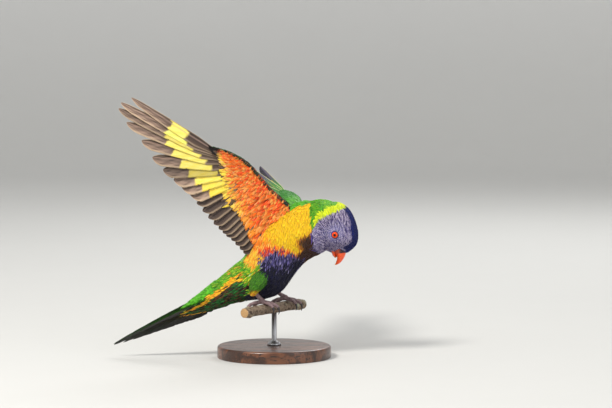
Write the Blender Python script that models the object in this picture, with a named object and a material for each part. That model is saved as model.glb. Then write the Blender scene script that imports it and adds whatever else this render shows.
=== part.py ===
"""A rainbow lorikeet at life size, settling on a twig with its wings raised, on a small display stand.

Sizes are in millimetres and become metres where each mesh is made. +Z is up and the bird heads towards +X. Its body
is rolled, so that its right side, which faces -Y, shows the belly and the underside of the right wing. The origin is
the middle of the stand's underside.
"""

import math

import bmesh
import bpy
import numpy as np
from mathutils import Matrix, Vector

MM = 0.001
GAP = 0.3

# Pose: angles in degrees
BODY_ROLL = 30.0
HEAD_PITCH = 82.0
HEAD_ROLL = 12.0
WING_AXIS_PITCH = 45.0
RIGHT_WING_RAISE = 77.0
LEFT_WING_RAISE = 12.0
LEFT_WING_FORWARD = 6.0
LEFT_WING_NOSE_DOWN = 32.0
TAIL_DROOP = 28.0

# Body stations from the tail coverts to the front of the breast: x, z, half depth, half width
BODY_STATIONS = (
    (-94.0, 43.0, 1.2, 9.0),
    (-85.0, 48.0, 3.8, 12.2),
    (-74.0, 53.5, 7.6, 13.4),
    (-60.0, 60.5, 11.8, 14.2),
    (-47.0, 67.5, 15.2, 16.4),
    (-33.0, 74.5, 19.4, 19.6),
    (-17.0, 80.0, 25.0, 23.6),
    (-8.5, 88.0, 27.6, 25.2),
    (-1.0, 98.5, 26.8, 26.0),
    (9.0, 111.0, 26.6, 26.5),
    (21.0, 122.0, 28.2, 26.8),
    (32.5, 128.9, 30.0, 25.4),
    (42.0, 134.1, 27.6, 22.8),
    (50.0, 138.2, 21.0, 18.0),
    (55.0, 140.5, 11.5, 10.0),
)
BODY_RINGS = 23
BODY_SIDES = 24
TAIL_CUT = (-52.0, 64.5)

NECK_CENTRE = (46.5, 0.0, 136.5)
NECK_RADII = (24.5, 20.5, 22.6)
# Each cut is a line in the side view: a point at the back of the neck, and one in the fold under the chin
NECK_BASE_CUT = ((30.0, 160.0), (42.0, 104.0))
NAPE_CUT = ((52.0, 156.0), (48.0, 106.0))

# Head: forward is towards the bill and up is towards the crown
HEAD_CENTRE = (61.0, 0.0, 127.0)
# forward, middle's height, half depth, half width
HEAD_STATIONS = (
    (-28.5, 3.0, 3.0, 3.0),
    (-26.0, 2.6, 9.0, 9.0),
    (-18.6, 1.0, 17.2, 15.8),
    (-8.0, -0.8, 22.6, 18.6),
    (3.2, -0.8, 24.0, 18.9),
    (11.5, 0.9, 21.2, 15.6),
    (16.6, 2.8, 16.9, 9.4),
    (19.8, 3.2, 12.9, 6.3),
    (22.0, 3.6, 9.2, 4.6),
    (23.4, 4.0, 6.5, 3.4),
)
HEAD_RINGS = 16
HEAD_SIDES = 24

EYE_FORWARD = 2.5
EYE_HEIGHT = 3.1
EYE_SIDE = 15.6
EYE_RADIUS = 3.9
LID_SIDE = 17.9
LID_RADIUS = 3.75
LID_THICKNESS = 0.62

# Bill stations in the head's frame: forward, height, half height, half width
UPPER_BILL = (
    (15.5, 2.6, 5.2, 6.2),
    (20.0, 2.7, 5.5, 6.2),
    (23.5, 2.6, 5.0, 5.6),
    (26.8, 1.8, 3.7, 4.6),
    (29.8, 0.1, 2.6, 3.2),
    (32.0, -2.0, 1.7, 2.0),
    (33.3, -3.9, 0.8, 0.9),
    (33.8, -5.0, 0.35, 0.35),
)
LOWER_BILL = (
    (15.5, -3.4, 2.6, 5.2),
    (20.0, -3.8, 2.4, 5.0),
    (23.0, -3.9, 2.0, 4.2),
    (25.4, -3.4, 1.2, 2.8),
    (26.8, -2.8, 0.5, 1.2),
)
CERE_REACH = (17.5, 22.4)
CERE_STANDS_PROUD = 0.95
NOSTRIL_PLACE = (20.6, 6.3, 4.9)
NOSTRIL_RADIUS = 0.75

# Wing plan in the wing's own plane: outward from the shoulder, and forward
SHOULDER_ALONG_SIDE = 17.0
SHOULDER_ALONG_BACK = 20.4
SHOULDER_STATION = (32.0, 0.0, 131.0)
ARM_BONES = ((4.0, -17.0), (24.0, -19.0), (57.0, -3.0), (91.0, -8.0))
# outward, leading edge, trailing edge, thickness
ARM_STATIONS = (
    (-16.0, 2.5, -22.0, 13.0),
    (4.0, 5.2, -24.0, 11.4),
    (16.0, 4.6, -25.0, 10.0),
    (28.0, 4.2, -24.0, 8.8),
    (42.0, 5.4, -17.5, 7.8),
    (57.0, 7.0, -11.0, 6.8),
    (72.0, 5.4, -12.5, 5.2),
    (86.0, 0.8, -14.0, 3.8),
    (97.0, -5.0, -14.0, 2.2),
    (102.0, -8.5, -12.5, 0.9),
)
ARM_RINGS = 12
ARM_SIDES = 10
WING_CAMBER = 6.0
WING_TIP_RISE = 9.0

# Primaries from the wrist outwards: swing away from straight back in degrees, and length
PRIMARIES = (
    (24.0, 58.5),
    (29.5, 62.0),
    (36.0, 66.0),
    (43.5, 73.0),
    (51.5, 81.0),
    (59.5, 91.0),
    (65.5, 107.0),
    (71.0, 116.0),
    (74.0, 113.0),
    (78.0, 103.0),
)
SECONDARY_COUNT = 11
SECONDARY_SWINGS = (-5.0, -2.0, 2.0, 16.0)
SECONDARY_LENGTHS = (45.0, 42.0, 50.0, 57.0)
PRIMARY_WIDTH = 12.0
SECONDARY_WIDTH = 13.0
VANE_THICKNESS = 0.6
VANE_TILT = 9.0
OUTER_WEB_SHARE = 0.32

# Covert tiers, on both faces: count, how far out along the bones, how far in front of them they start, lengths from
# the body outwards, width, height at the root as a share of the arm's, height at the tip
COVERT_TIERS = (
    (10, 109.0, 3.0, (36.0, 31.0, 29.0, 26.0), 11.5, 0.25, 2.6),
    (6, 68.0, 9.0, (28.0, 26.0, 24.0), 12.5, 0.5, 4.4),
)

# Tail feathers from the middle pair outwards
TAIL_ROOT = (-56.0, 0.0, 64.0)
TAIL_LENGTHS = (117.0, 108.0, 98.0, 87.0, 75.0, 62.0)
TAIL_SPREAD = 1.5
TAIL_ROOT_SPACING = 1.15
TAIL_STEP = 0.9
TAIL_STACK = 9.0
TAIL_FAN_DROP = 0.006
TAIL_TILT = 2.5
TAIL_WIDTH = 12.5
# Tail covert tiers: count, start along the tail, length, width, spread in degrees, side of the tail (1 above)
TAIL_COVERTS = (
    (4, 14.0, 30.0, 9.5, 6.0, 1),
    (4, 17.0, 31.0, 9.5, 6.0, -1),
)

# Legs: the thighs are feathered, and the feet grip the twig
RIGHT_THIGH = ((-6.0, -14.0, 92.0, 8.0), (-12.0, -21.5, 83.0, 9.4), (-17.5, -24.5, 75.0, 7.8), (-20.5, -24.0, 67.5, 4.2))
LEFT_THIGH = ((-15.0, 12.0, 84.0, 8.0), (-10.0, 18.0, 75.5, 9.4), (-5.0, 20.0, 68.5, 7.4), (-1.5, 18.5, 63.0, 4.0))
RIGHT_FOOT = (-11.3, -16.5)
LEFT_FOOT = (11.3, 16.5)
RIGHT_ANKLE = (-20.5, -23.5, 66.5)
LEFT_ANKLE = (-1.5, 18.2, 63.5)
TARSUS_RADIUS = 2.2
KNUCKLE_RADIUS = 2.9
TOE_RADIUS = 1.9
FOOT_YAW = -17.0
# Toes: yaw from the foot's heading, reach, last angle over the twig, claw length
TOES = (
    (180.0 - 11.0, 10.5, 66.0, 6.0),
    (-13.0, 13.0, 70.0, 7.0),
    (11.0, 16.5, 72.0, 7.5),
    (180.0 + 12.0, 15.5, 72.0, 7.0),
)

# Perch and stand
PERCH_TOP = 55.0
PERCH_RADIUS = 5.4
PERCH_HALF_LENGTH = 50.0
ROD_RADIUS = 2.5
FERRULE_RADIUS = 7.0
FERRULE_HEIGHT = 4.0
BASE_RADIUS = 57.0
BASE_HEIGHT = 12.0
BASE_EDGE = 2.5

X_AXIS = np.array((1.0, 0.0, 0.0))
Y_AXIS = np.array((0.0, 1.0, 0.0))
Z_AXIS = np.array((0.0, 0.0, 1.0))


def unit(vector):
    vector = np.array(vector, float)
    return vector / np.linalg.norm(vector)


def turned(angle):
    """The cosine and sine of an angle in degrees."""
    return math.cos(math.radians(angle)), math.sin(math.radians(angle))


def through(stations, count):
    """Rows read evenly along a smooth curve through the stations, column by column."""
    stations = np.array(stations, float)
    slopes = np.gradient(stations, axis=0)
    last = len(stations) - 1
    rows = []
    for place in np.linspace(0, last, count):
        i = min(int(place), last - 1)
        t = place - i
        rows.append(
            (2 * t**3 - 3 * t**2 + 1) * stations[i]
            + (t**3 - 2 * t**2 + t) * slopes[i]
            + (3 * t**2 - 2 * t**3) * stations[i + 1]
            + (t**3 - t**2) * slopes[i + 1]
        )
    return np.array(rows)


def read_between(values, share):
    """The value at a share from 0 to 1 along evenly spaced values."""
    return float(np.interp(share * (len(values) - 1), range(len(values)), values))


# Closed meshes


def tube_of(rings):
    """(points, faces) of a closed tube over rings with equal counts, with a flat fan at each end."""
    rings = np.array(rings, float)
    count, sides = rings.shape[:2]
    points = [tuple(p) for ring in rings for p in ring]
    faces = []
    for i in range(count - 1):
        for j in range(sides):
            k = (j + 1) % sides
            faces.append((i * sides + j, i * sides + k, (i + 1) * sides + k, (i + 1) * sides + j))
    for ring in (0, count - 1):
        points.append(tuple(rings[ring].mean(axis=0)))
        faces += [
            (ring * sides + j, ring * sides + (j + 1) % sides, len(points) - 1) for j in range(sides)
        ]
    return points, faces


def ellipse_ring(centre, up, side, half_up, half_side, sides):
    angles = np.arange(sides) / sides * 2 * math.pi
    return np.array(
        [centre + half_up * math.cos(a) * up + half_side * math.sin(a) * side for a in angles]
    )


def path_tube(path, radii, sides):
    """A closed tube along a path in space, with a radius at each point."""
    path = np.array(path, float)
    tangents = [unit(tangent) for tangent in np.gradient(path, axis=0)]
    side = unit(np.cross(tangents[0], Z_AXIS if abs(tangents[0][2]) < 0.8 else X_AXIS))
    rings = []
    for point, tangent, radius in zip(path, tangents, radii):
        side = unit(side - tangent * (side @ tangent))
        rings.append(ellipse_ring(point, np.cross(side, tangent), side, radius, radius, sides))
    return tube_of(rings)


def vane_of(middles, side, normal, outer_widths, inner_widths, thickness):
    """A feather's vane, split into triangles alike on both faces."""
    half = normal * thickness / 2
    points, faces = [], []
    for middle, outer, inner in zip(middles, outer_widths, inner_widths):
        for face in (half, -half):
            points += [middle + side * outer + face, middle - side * inner + face]
    for i in range(0, len(points) - 4, 4):
        a, b, c, d, e, f, g, h = range(i, i + 8)
        faces += [(a, b, f), (a, f, e), (c, h, d), (c, g, h)]
        faces += [(a, e, g), (a, g, c), (d, h, f), (d, f, b)]
    last = len(points) - 4
    faces += [(0, 1, 3, 2), (last, last + 2, last + 3, last + 1)]
    return points, faces


def ball_of(centre, radii, rings=12, sides=18):
    """A closed ball or egg, its poles along Z."""
    centre, radii = np.array(centre, float), np.array(radii, float)
    rows = []
    for i in range(1, rings):
        angle = math.pi * i / rings
        rows.append(
            [
                centre
                + radii * (math.sin(angle) * math.cos(b), math.sin(angle) * math.sin(b), math.cos(angle))
                for b in np.arange(sides) / sides * 2 * math.pi
            ]
        )
    points, faces = tube_of(rows)
    points[-2] = tuple(centre + radii * Z_AXIS)
    points[-1] = tuple(centre - radii * Z_AXIS)
    return points, faces


def turned_profile(profile, sides):
    """A closed solid turned about the Z axis from (radius, height) pairs, bottom to top."""
    rings = [
        [(r * math.cos(a), r * math.sin(a), z) for a in np.arange(sides) / sides * 2 * math.pi]
        for r, z in profile
    ]
    return tube_of(rings)


# Blender objects


def material(name, colour, roughness, metallic=0.0):
    made = bpy.data.materials.new(name)
    made.use_nodes = True
    shader = made.node_tree.nodes["Principled BSDF"]
    shader.inputs["Base Color"].default_value = (*colour, 1.0)
    shader.inputs["Roughness"].default_value = roughness
    shader.inputs["Metallic"].default_value = metallic
    made.diffuse_color = (*colour, 1.0)
    return made


def solid(name, shape, finish=None):
    """An object from (points in millimetres, faces), in metres, with its faces pointing out."""
    points, faces = shape
    mesh = bpy.data.meshes.new(name)
    mesh.from_pydata([Vector(p) * MM for p in points], [], faces)
    shell = bmesh.new()
    shell.from_mesh(mesh)
    bmesh.ops.recalc_face_normals(shell, faces=shell.faces)
    shell.to_mesh(mesh)
    shell.free()
    made = bpy.data.objects.new(name, mesh)
    bpy.context.scene.collection.objects.link(made)
    if finish:
        mesh.materials.append(finish)
    return made


def settle(made):
    """Applies an object's modifiers."""
    bpy.context.view_layer.update()
    graph = bpy.context.evaluated_depsgraph_get()
    mesh = bpy.data.meshes.new_from_object(made.evaluated_get(graph))
    made.modifiers.clear()
    made.data = mesh
    return made


def discard(*objects):
    for each in objects:
        bpy.data.objects.remove(each)


def islands(shell):
    """The separate surfaces of a bmesh, as lists of faces."""
    left = set(shell.faces)
    while left:
        found = [left.pop()]
        for face in found:
            for edge in face.edges:
                for other in edge.link_faces:
                    if other in left:
                        left.discard(other)
                        found.append(other)
        yield found


def keep_largest(made):
    """Keeps only an object's largest closed surface."""
    shell = bmesh.new()
    shell.from_mesh(made.data)
    pieces = sorted(islands(shell), key=lambda faces: sum(f.calc_area() for f in faces))
    for faces in pieces[:-1]:
        bmesh.ops.delete(shell, geom=faces, context="FACES")
    shell.to_mesh(made.data)
    shell.free()
    return made


def fuse(core, shapes):
    """Joins closed shapes into core with one Boolean union, and keeps one closed surface."""
    joined = bpy.data.collections.new(core.name + "_pieces")
    bpy.context.scene.collection.children.link(joined)
    pieces = []
    for number, shape in enumerate(shapes):
        piece = solid(f"{core.name}_piece_{number}", shape)
        bpy.context.scene.collection.objects.unlink(piece)
        joined.objects.link(piece)
        pieces.append(piece)
    union = core.modifiers.new("Union", "BOOLEAN")
    union.operation = "UNION"
    union.operand_type = "COLLECTION"
    union.collection = joined
    union.solver = "MANIFOLD"
    settle(core)
    discard(*pieces)
    bpy.data.collections.remove(joined)
    return keep_largest(core)


def cut(made, cutters):
    """Takes each cutter object out of an object, and keeps one closed surface."""
    for cutter in cutters:
        difference = made.modifiers.new("Cut", "BOOLEAN")
        difference.operation = "DIFFERENCE"
        difference.object = cutter
        difference.solver = "MANIFOLD"
    settle(made)
    return keep_largest(made)


def grown(made, gap=GAP):
    """A copy of an object that stands proud of it by the gap, to cut a clear seat for it."""
    copy = made.copy()
    copy.data = made.data.copy()
    bpy.context.scene.collection.objects.link(copy)
    shell = bmesh.new()
    shell.from_mesh(copy.data)
    shell.normal_update()
    moves = [(v, v.normal * min(v.calc_shell_factor(), 2.0) * gap * MM) for v in shell.verts]
    for vertex, move in moves:
        vertex.co += move
    shell.to_mesh(copy.data)
    shell.free()
    return copy


def side_of_plane(made, name, point, away, finish):
    """A copy of an object with all that lies beyond a plane cut off and the cut closed."""
    copy = made.copy()
    copy.data = made.data.copy()
    copy.name = name
    copy.data.name = name
    bpy.context.scene.collection.objects.link(copy)
    shell = bmesh.new()
    shell.from_mesh(copy.data)
    everything = shell.verts[:] + shell.edges[:] + shell.faces[:]
    bmesh.ops.bisect_plane(
        shell,
        geom=everything,
        plane_co=Vector(point) * MM,
        plane_no=Vector(away),
        clear_outer=True,
    )
    rim = [e for e in shell.edges if e.is_boundary]
    bmesh.ops.contextual_create(shell, geom=rim)
    bmesh.ops.triangulate(shell, faces=[f for f in shell.faces if len(f.verts) > 4])
    bmesh.ops.recalc_face_normals(shell, faces=shell.faces)
    shell.to_mesh(copy.data)
    shell.free()
    if finish:
        copy.data.materials.clear()
        copy.data.materials.append(finish)
    return copy


def smooth(made, angle=35.0):
    made.data.shade_smooth()
    made.data.set_sharp_from_angle(angle=math.radians(angle))


# Frames: each is a rotation that takes the part's own directions into the stand's


def side_view_frame(pitch, roll):
    """(forward, up, right) for a part pitched up from +X, then rolled so that its underside turns towards -Y."""
    c, s = turned(pitch)
    forward = np.array((c, 0.0, s))
    upright = np.array((-s, 0.0, c))
    cr, sr = turned(roll)
    return forward, upright * cr + Y_AXIS * sr, -Y_AXIS * cr + upright * sr


def head_point(forward, height, side):
    ahead, up, right = side_view_frame(-HEAD_PITCH, -HEAD_ROLL)
    return np.array(HEAD_CENTRE) + forward * ahead + height * up + side * right


class Wing:
    """Places points given in a wing's own plan: outward, forward, and height above its middle on the upper side."""

    def __init__(self, right_side):
        _, back, right = side_view_frame(WING_AXIS_PITCH, BODY_ROLL)
        along, across, _ = side_view_frame(WING_AXIS_PITCH, 0.0)
        sign = 1.0 if right_side else -1.0
        self.shoulder = (
            np.array(SHOULDER_STATION) + sign * SHOULDER_ALONG_SIDE * right + SHOULDER_ALONG_BACK * back
        )
        c, s = turned(RIGHT_WING_RAISE if right_side else LEFT_WING_RAISE)
        outward = -sign * Y_AXIS * c + across * s
        c, s = turned(0.0 if right_side else LEFT_WING_FORWARD)
        self.outward = outward * c + along * s
        forward = along * c - outward * s
        up = sign * np.cross(self.outward, forward)
        c, s = turned(0.0 if right_side else LEFT_WING_NOSE_DOWN)
        self.forward = forward * c - up * s
        self.up = up * c + forward * s

    def direction(self, outward, forward, height):
        return outward * self.outward + forward * self.forward + height * self.up

    def point(self, outward, forward, height):
        behind = max(0.0, -forward - 8.0) / 52.0
        beyond = max(0.0, outward - 60.0) / 133.0
        height = height - WING_CAMBER * behind**2 + WING_TIP_RISE * beyond**2
        return self.shoulder + self.direction(outward, forward, height)


def along_arm(place):
    """The point at a distance along the bones that the flight feathers grow from."""
    bones = np.array(ARM_BONES)
    steps = np.concatenate([[0.0], np.cumsum(np.linalg.norm(np.diff(bones, axis=0), axis=1))])
    return np.array([np.interp(place, steps, bones[:, 0]), np.interp(place, steps, bones[:, 1])])


def arm_around(place):
    """How far the arm reaches in front of a point on its bones, and half its thickness there."""
    outward, forward = along_arm(place)
    stations = np.array(ARM_STATIONS)
    lead = np.interp(outward, stations[:, 0], stations[:, 1])
    return lead - forward, np.interp(outward, stations[:, 0], stations[:, 3]) / 2


WRIST_AT = sum(math.dist(ARM_BONES[i], ARM_BONES[i + 1]) for i in range(2))
HAND_LENGTH = math.dist(ARM_BONES[2], ARM_BONES[3])


def flight_feathers():
    """Each flight feather from the body outwards: place along the arm, swing, length, width, taper of its tip."""
    for i in range(SECONDARY_COUNT):
        share = i / (SECONDARY_COUNT - 1)
        yield (
            1.0 + share * (WRIST_AT - 3.0),
            read_between(SECONDARY_SWINGS, share),
            read_between(SECONDARY_LENGTHS, share),
            SECONDARY_WIDTH,
            0.55,
        )
    for i, (swing, length) in enumerate(PRIMARIES):
        share = i / (len(PRIMARIES) - 1)
        yield (
            WRIST_AT + (i + 0.5) / len(PRIMARIES) * HAND_LENGTH,
            swing,
            length,
            PRIMARY_WIDTH - 2.0 * share,
            0.55 - 0.3 * share,
        )


def swing_at(place):
    feathers = list(flight_feathers())
    return float(np.interp(place, [f[0] for f in feathers], [f[1] for f in feathers]))


def wing_vane(wing, place, start, swing, length, width, blunt, heights, rows):
    """A vane in the wing's plan. start is how far in front of the bones it begins, heights are root and tip."""
    c, s = turned(swing)
    run = np.array((s, -c))
    across = np.array((c, s))
    ct, st = turned(VANE_TILT)
    side = wing.direction(*(across * ct), st)
    normal = wing.direction(*(-across * st), ct)
    root = along_arm(place) - run * start
    shares = 1.0 - np.linspace(1.0, 0.0, rows) ** 1.3
    outline = [min(1.0, 0.3 + 2.6 * t) * (blunt + (1.0 - blunt) * (1.0 - t**3)) for t in shares]
    outline[-1] *= 0.5
    middles = []
    for t in shares:
        outward, forward = root + run * (length + start) * t
        middles.append(wing.point(outward, forward, heights[0] + (heights[1] - heights[0]) * min(1.0, 2 * t)))
    outer = [width * OUTER_WEB_SHARE * w for w in outline]
    inner = [width * (1.0 - OUTER_WEB_SHARE) * w for w in outline]
    return vane_of(middles, side, normal, outer, inner, VANE_THICKNESS)


def wing_shapes(wing):
    """The arm, then every vane that is fused to it."""
    rings = []
    for outward, lead, trail, thickness in through(ARM_STATIONS, ARM_RINGS):
        middle, half = (lead + trail) / 2, (lead - trail) / 2
        ring = []
        for a in np.arange(ARM_SIDES) / ARM_SIDES * 2 * math.pi:
            ring.append(wing.point(outward, middle + half * math.cos(a), thickness / 2 * math.sin(a)))
        rings.append(ring)
    arm = tube_of(rings)
    vanes = []
    for place, swing, length, width, blunt in flight_feathers():
        vanes.append(wing_vane(wing, place, 1.0, swing, length, width, blunt, (0.0, 0.0), 5))
    for count, reach, start, lengths, width, at_root, at_tip in COVERT_TIERS:
        for face in (1.0, -1.0):
            for i in range(count):
                share = (i + 0.5) / count
                place = share * reach
                ahead, high = arm_around(place)
                begin = min(start, 0.5 * ahead)
                length = read_between(lengths, share) - begin
                heights = (face * at_root * high, face * at_tip)
                vanes.append(
                    wing_vane(wing, place, begin, swing_at(place), length, width, 0.5, heights, 4)
                )
    return arm, vanes


# The bird


def body_shapes():
    """The body from the tail coverts to the breast, the neck, and the head, as closed shapes that overlap."""
    rows = through(BODY_STATIONS, BODY_RINGS)
    spine = np.array([(x, 0.0, z) for x, z, _, _ in rows])
    pitches = np.degrees(np.arctan2(*np.gradient(spine[:, (2, 0)], axis=0).T))
    pitches = np.convolve(np.pad(pitches, 2, mode="edge"), np.ones(5) / 5, mode="valid")
    rings = []
    for centre, pitch, (_, _, depth, width) in zip(spine, pitches, rows):
        _, up, right = side_view_frame(pitch, BODY_ROLL)
        rings.append(ellipse_ring(centre, up, right, depth, width, BODY_SIDES))
    body = tube_of(rings)
    neck = ball_of(NECK_CENTRE, NECK_RADII, rings=14, sides=22)
    rings = []
    _, up, right = side_view_frame(-HEAD_PITCH, -HEAD_ROLL)
    for forward, height, depth, width in through(HEAD_STATIONS, HEAD_RINGS):
        rings.append(ellipse_ring(head_point(forward, height, 0.0), up, right, depth, width, HEAD_SIDES))
    return body, neck, tube_of(rings)


def parted_body(finishes):
    """The torso, neck, head and tail base, modelled whole and parted with thin cuts."""
    body, neck, head = body_shapes()
    whole = solid("whole", body)
    fuse(whole, [neck, head])

    def halves(line, names, first_finish, second_finish, source):
        (x0, z0), (x1, z1) = line
        across = unit((z0 - z1, 0.0, x1 - x0))
        if across[0] < 0:
            across = -across
        middle = np.array(((x0 + x1) / 2, 0.0, (z0 + z1) / 2))
        behind = side_of_plane(source, names[0], middle - across * GAP / 2, across, first_finish)
        ahead = side_of_plane(source, names[1], middle + across * GAP / 2, -across, second_finish)
        return behind, ahead

    c, s = turned(TAIL_DROOP)
    tail_line = (
        (TAIL_CUT[0] - 30 * s, TAIL_CUT[1] + 30 * c),
        (TAIL_CUT[0] + 30 * s, TAIL_CUT[1] - 30 * c),
    )
    tail, front = halves(tail_line, ("tail", "front"), finishes["tail"], None, whole)
    torso, rest = halves(NECK_BASE_CUT, ("torso", "rest"), finishes["belly"], None, front)
    neck, head = halves(NAPE_CUT, ("neck", "head"), finishes["breast"], finishes["head"], rest)
    discard(whole, front, rest)
    return torso, neck, head, tail


def bill_shape(stations, rings, proud=0.0):
    """A mandible over stations in the head's frame."""
    _, up, right = side_view_frame(-HEAD_PITCH, -HEAD_ROLL)
    ahead, _, _ = side_view_frame(-HEAD_PITCH, -HEAD_ROLL)
    rows = through(stations, rings)
    slopes = np.gradient(rows[:, :2], axis=0)
    made = []
    for (forward, height, half_height, half_width), (run, rise) in zip(rows, slopes):
        along = unit((run, rise))
        lift = -ahead * along[1] + up * along[0]
        centre = head_point(forward, height, 0.0)
        made.append(ellipse_ring(centre, lift, right, half_height + proud, half_width + proud, 14))
    return tube_of(made)


def build_head_parts(head, finishes):
    """The bill, cere, eyes and lids, each in its own seat in the head."""
    upper = solid("bill_upper", bill_shape(UPPER_BILL, 12), finishes["bill"])
    lower = solid("bill_lower", bill_shape(LOWER_BILL, 9), finishes["bill"])
    seat = grown(upper)
    cut(lower, [seat])
    discard(seat)
    collar_rows = [row for row in through(UPPER_BILL, 40) if CERE_REACH[0] <= row[0] <= CERE_REACH[1]]
    collar = bill_shape(collar_rows, 3, CERE_STANDS_PROUD)
    cere = solid("cere", collar, finishes["cere"])
    cere_seat = grown(cere)
    nostrils = []
    for sign in (1.0, -1.0):
        forward, height, side = NOSTRIL_PLACE
        inner = head_point(forward, height - 0.6, sign * (side - 2.6))
        outer = head_point(forward, height + 0.9, sign * (side + 2.0))
        nostrils.append(solid("nostril", path_tube([inner, outer], [NOSTRIL_RADIUS] * 2, 8)))
    ahead, _, _ = side_view_frame(-HEAD_PITCH, -HEAD_ROLL)
    behind, before = grown(upper), grown(lower)
    cut(cere, [behind, before] + nostrils)
    discard(behind, before, *nostrils)
    lids = []
    for sign in (1.0, -1.0):
        lids.append(lid_shape(sign))
    fuse(head, lids)
    eyes = []
    for sign, name in ((1.0, "eye_right"), (-1.0, "eye_left")):
        centre = head_point(EYE_FORWARD, EYE_HEIGHT, sign * EYE_SIDE)
        eyes.append(solid(name, ball_of(centre, [EYE_RADIUS] * 3, 9, 14), finishes["eye"]))
        smooth(eyes[-1])
    seats = [grown(piece) for piece in (upper, lower, *eyes)]
    cut(head, [cere_seat] + seats)
    discard(cere_seat, *seats)
    for piece in (upper, lower, cere, head):
        smooth(piece)


def lid_shape(sign):
    """A ring of bare skin round an eye."""
    ahead, up, right = side_view_frame(-HEAD_PITCH, -HEAD_ROLL)
    turns = 12
    points, faces = [], []
    for i in range(turns):
        angle = 2 * math.pi * i / turns
        out = math.cos(angle) * ahead + math.sin(angle) * up
        middle = head_point(EYE_FORWARD, EYE_HEIGHT, sign * LID_SIDE) + out * LID_RADIUS
        for j in range(5):
            turn = 2 * math.pi * j / 5
            points.append(middle + LID_THICKNESS * (math.cos(turn) * out + math.sin(turn) * right))
    for i in range(turns):
        for j in range(5):
            here, there = i * 5, ((i + 1) % turns) * 5
            k = (j + 1) % 5
            faces.append((here + j, here + k, there + k, there + j))
    return points, faces


def build_tail(tail):
    """Six pairs of tail feathers, the middle pair longest and on top, with coverts over their roots."""
    back, up, right = side_view_frame(TAIL_DROOP, BODY_ROLL)
    root = np.array(TAIL_ROOT)
    vanes = []
    for pair, length in enumerate(TAIL_LENGTHS):
        for sign in (1.0, -1.0):
            c, s = turned(sign * (0.8 + TAIL_SPREAD * pair))
            run = -back * c + right * s - up * TAIL_FAN_DROP * pair
            ct, st = turned(TAIL_TILT * pair)
            side = unit(right * c + back * s) * ct - up * st * sign
            normal = up * ct + right * st * sign
            height = TAIL_STACK / 2 - TAIL_STEP * (2 * pair + (sign < 0))
            start = root + right * sign * (0.7 + TAIL_ROOT_SPACING * pair) + up * height
            shares = np.linspace(0.0, 1.0, 5)
            outline = [min(1.0, 0.35 + 2.4 * t) * min(1.0, 1.28 * (1.0 - t) ** 0.6 + 0.04) for t in shares]
            middles = [start + run * length * t for t in shares]
            half = [TAIL_WIDTH / 2 * w for w in outline]
            vanes.append(vane_of(middles, side, normal, half, half, VANE_THICKNESS))
    for count, begin, length, width, spread, face in TAIL_COVERTS:
        for i in range(count):
            place = i - (count - 1) / 2
            c, s = turned(place * spread)
            run = -back * c + right * s
            ct, st = turned(face * place * 12.0)
            side = right * ct - up * st
            normal = up * ct + right * st
            start = root - back * begin + right * place * 4.4 + up * face * (4.0 - 0.8 * abs(place))
            lift = up * face * (2.0 + 0.5 * (i % 2)) - up * 2.2
            shares = np.linspace(0.0, 1.0, 4)
            middles = [start + run * length * t + lift * t for t in shares]
            half = [width / 2 * w for w in (0.6, 1.0, 0.8, 0.2)]
            vanes.append(vane_of(middles, side, normal, half, half, VANE_THICKNESS))
    fuse(tail, vanes)


def foot_shapes(foot, ankle):
    """The tarsus and toes of one foot as closed shapes, and the four claws."""
    knuckle = np.array((*foot, PERCH_TOP + GAP + KNUCKLE_RADIUS))
    lift = PERCH_RADIUS + GAP + TOE_RADIUS
    centre = np.array((*foot, PERCH_TOP - PERCH_RADIUS))
    tarsus = path_tube([np.array(ankle), (np.array(ankle) + knuckle) / 2, knuckle], [2.4, TARSUS_RADIUS, 2.5], 10)
    shapes = [tarsus, ball_of(knuckle, [KNUCKLE_RADIUS] * 3, 6, 10)]
    claws = []
    for yaw, reach, last, claw_length in TOES:
        c, s = turned(FOOT_YAW + yaw)
        heading = np.array((c, s, 0.0))
        path, radii = [], []
        for share in np.linspace(0.0, 1.0, 6):
            ca, sa = turned(last * share)
            path.append(centre + heading * reach * sa + Z_AXIS * lift * ca)
            radii.append(TOE_RADIUS * (1.0 - 0.28 * share) + 0.12 * math.sin(share * 6 * math.pi) ** 2)
        shapes.append(path_tube(path, radii, 8))
        end, along = path[-1], unit(path[-1] - path[-2])
        drop = math.atan2(-along[2], along @ heading)
        claw_path, claw_radii = [], []
        point = end + along * GAP
        for share in np.linspace(0.0, 1.0, 5):
            claw_path.append(point)
            claw_radii.append(1.25 * (1.0 - share) ** 0.8 + 0.22)
            point = point + (heading * math.cos(drop) - Z_AXIS * math.sin(drop)) * claw_length / 4
            drop += math.radians(17.0)
        claws.append(path_tube(claw_path, claw_radii, 7))
    return shapes, claws


def build_leg(side, thigh, foot, ankle, torso, finishes):
    rows = through(thigh, 7)
    shape = path_tube(rows[:, :3], rows[:, 3], 12)
    leg = solid(f"thigh_{side}", shape, finishes["green"])
    leg_end = ball_of(rows[0, :3], [rows[0, 3]] * 3, 7, 12)
    leg_tip = ball_of(rows[-1, :3], [rows[-1, 3]] * 3, 6, 10)
    fuse(leg, [leg_end, leg_tip])
    torso_seat = grown(torso)
    cut(leg, [torso_seat])
    shapes, claws = foot_shapes(foot, ankle)
    lower = solid(f"foot_{side}", shapes[0], finishes["foot"])
    fuse(lower, shapes[1:])
    thigh_seat = grown(leg)
    cut(lower, [torso_seat, thigh_seat])
    discard(torso_seat, thigh_seat)
    for number, claw in enumerate(claws, 1):
        smooth(solid(f"claw_{side}_{number}", claw, finishes["claw"]))
    smooth(leg)
    smooth(lower)
    return leg


def build_wing(side, bodies, finishes):
    wing = Wing(side == "right")
    arm, vanes = wing_shapes(wing)
    made = solid(f"wing_{side}", arm, finishes["wing"])
    fuse(made, vanes)
    seats = [grown(body) for body in bodies]
    cut(made, seats)
    discard(*seats)


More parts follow.
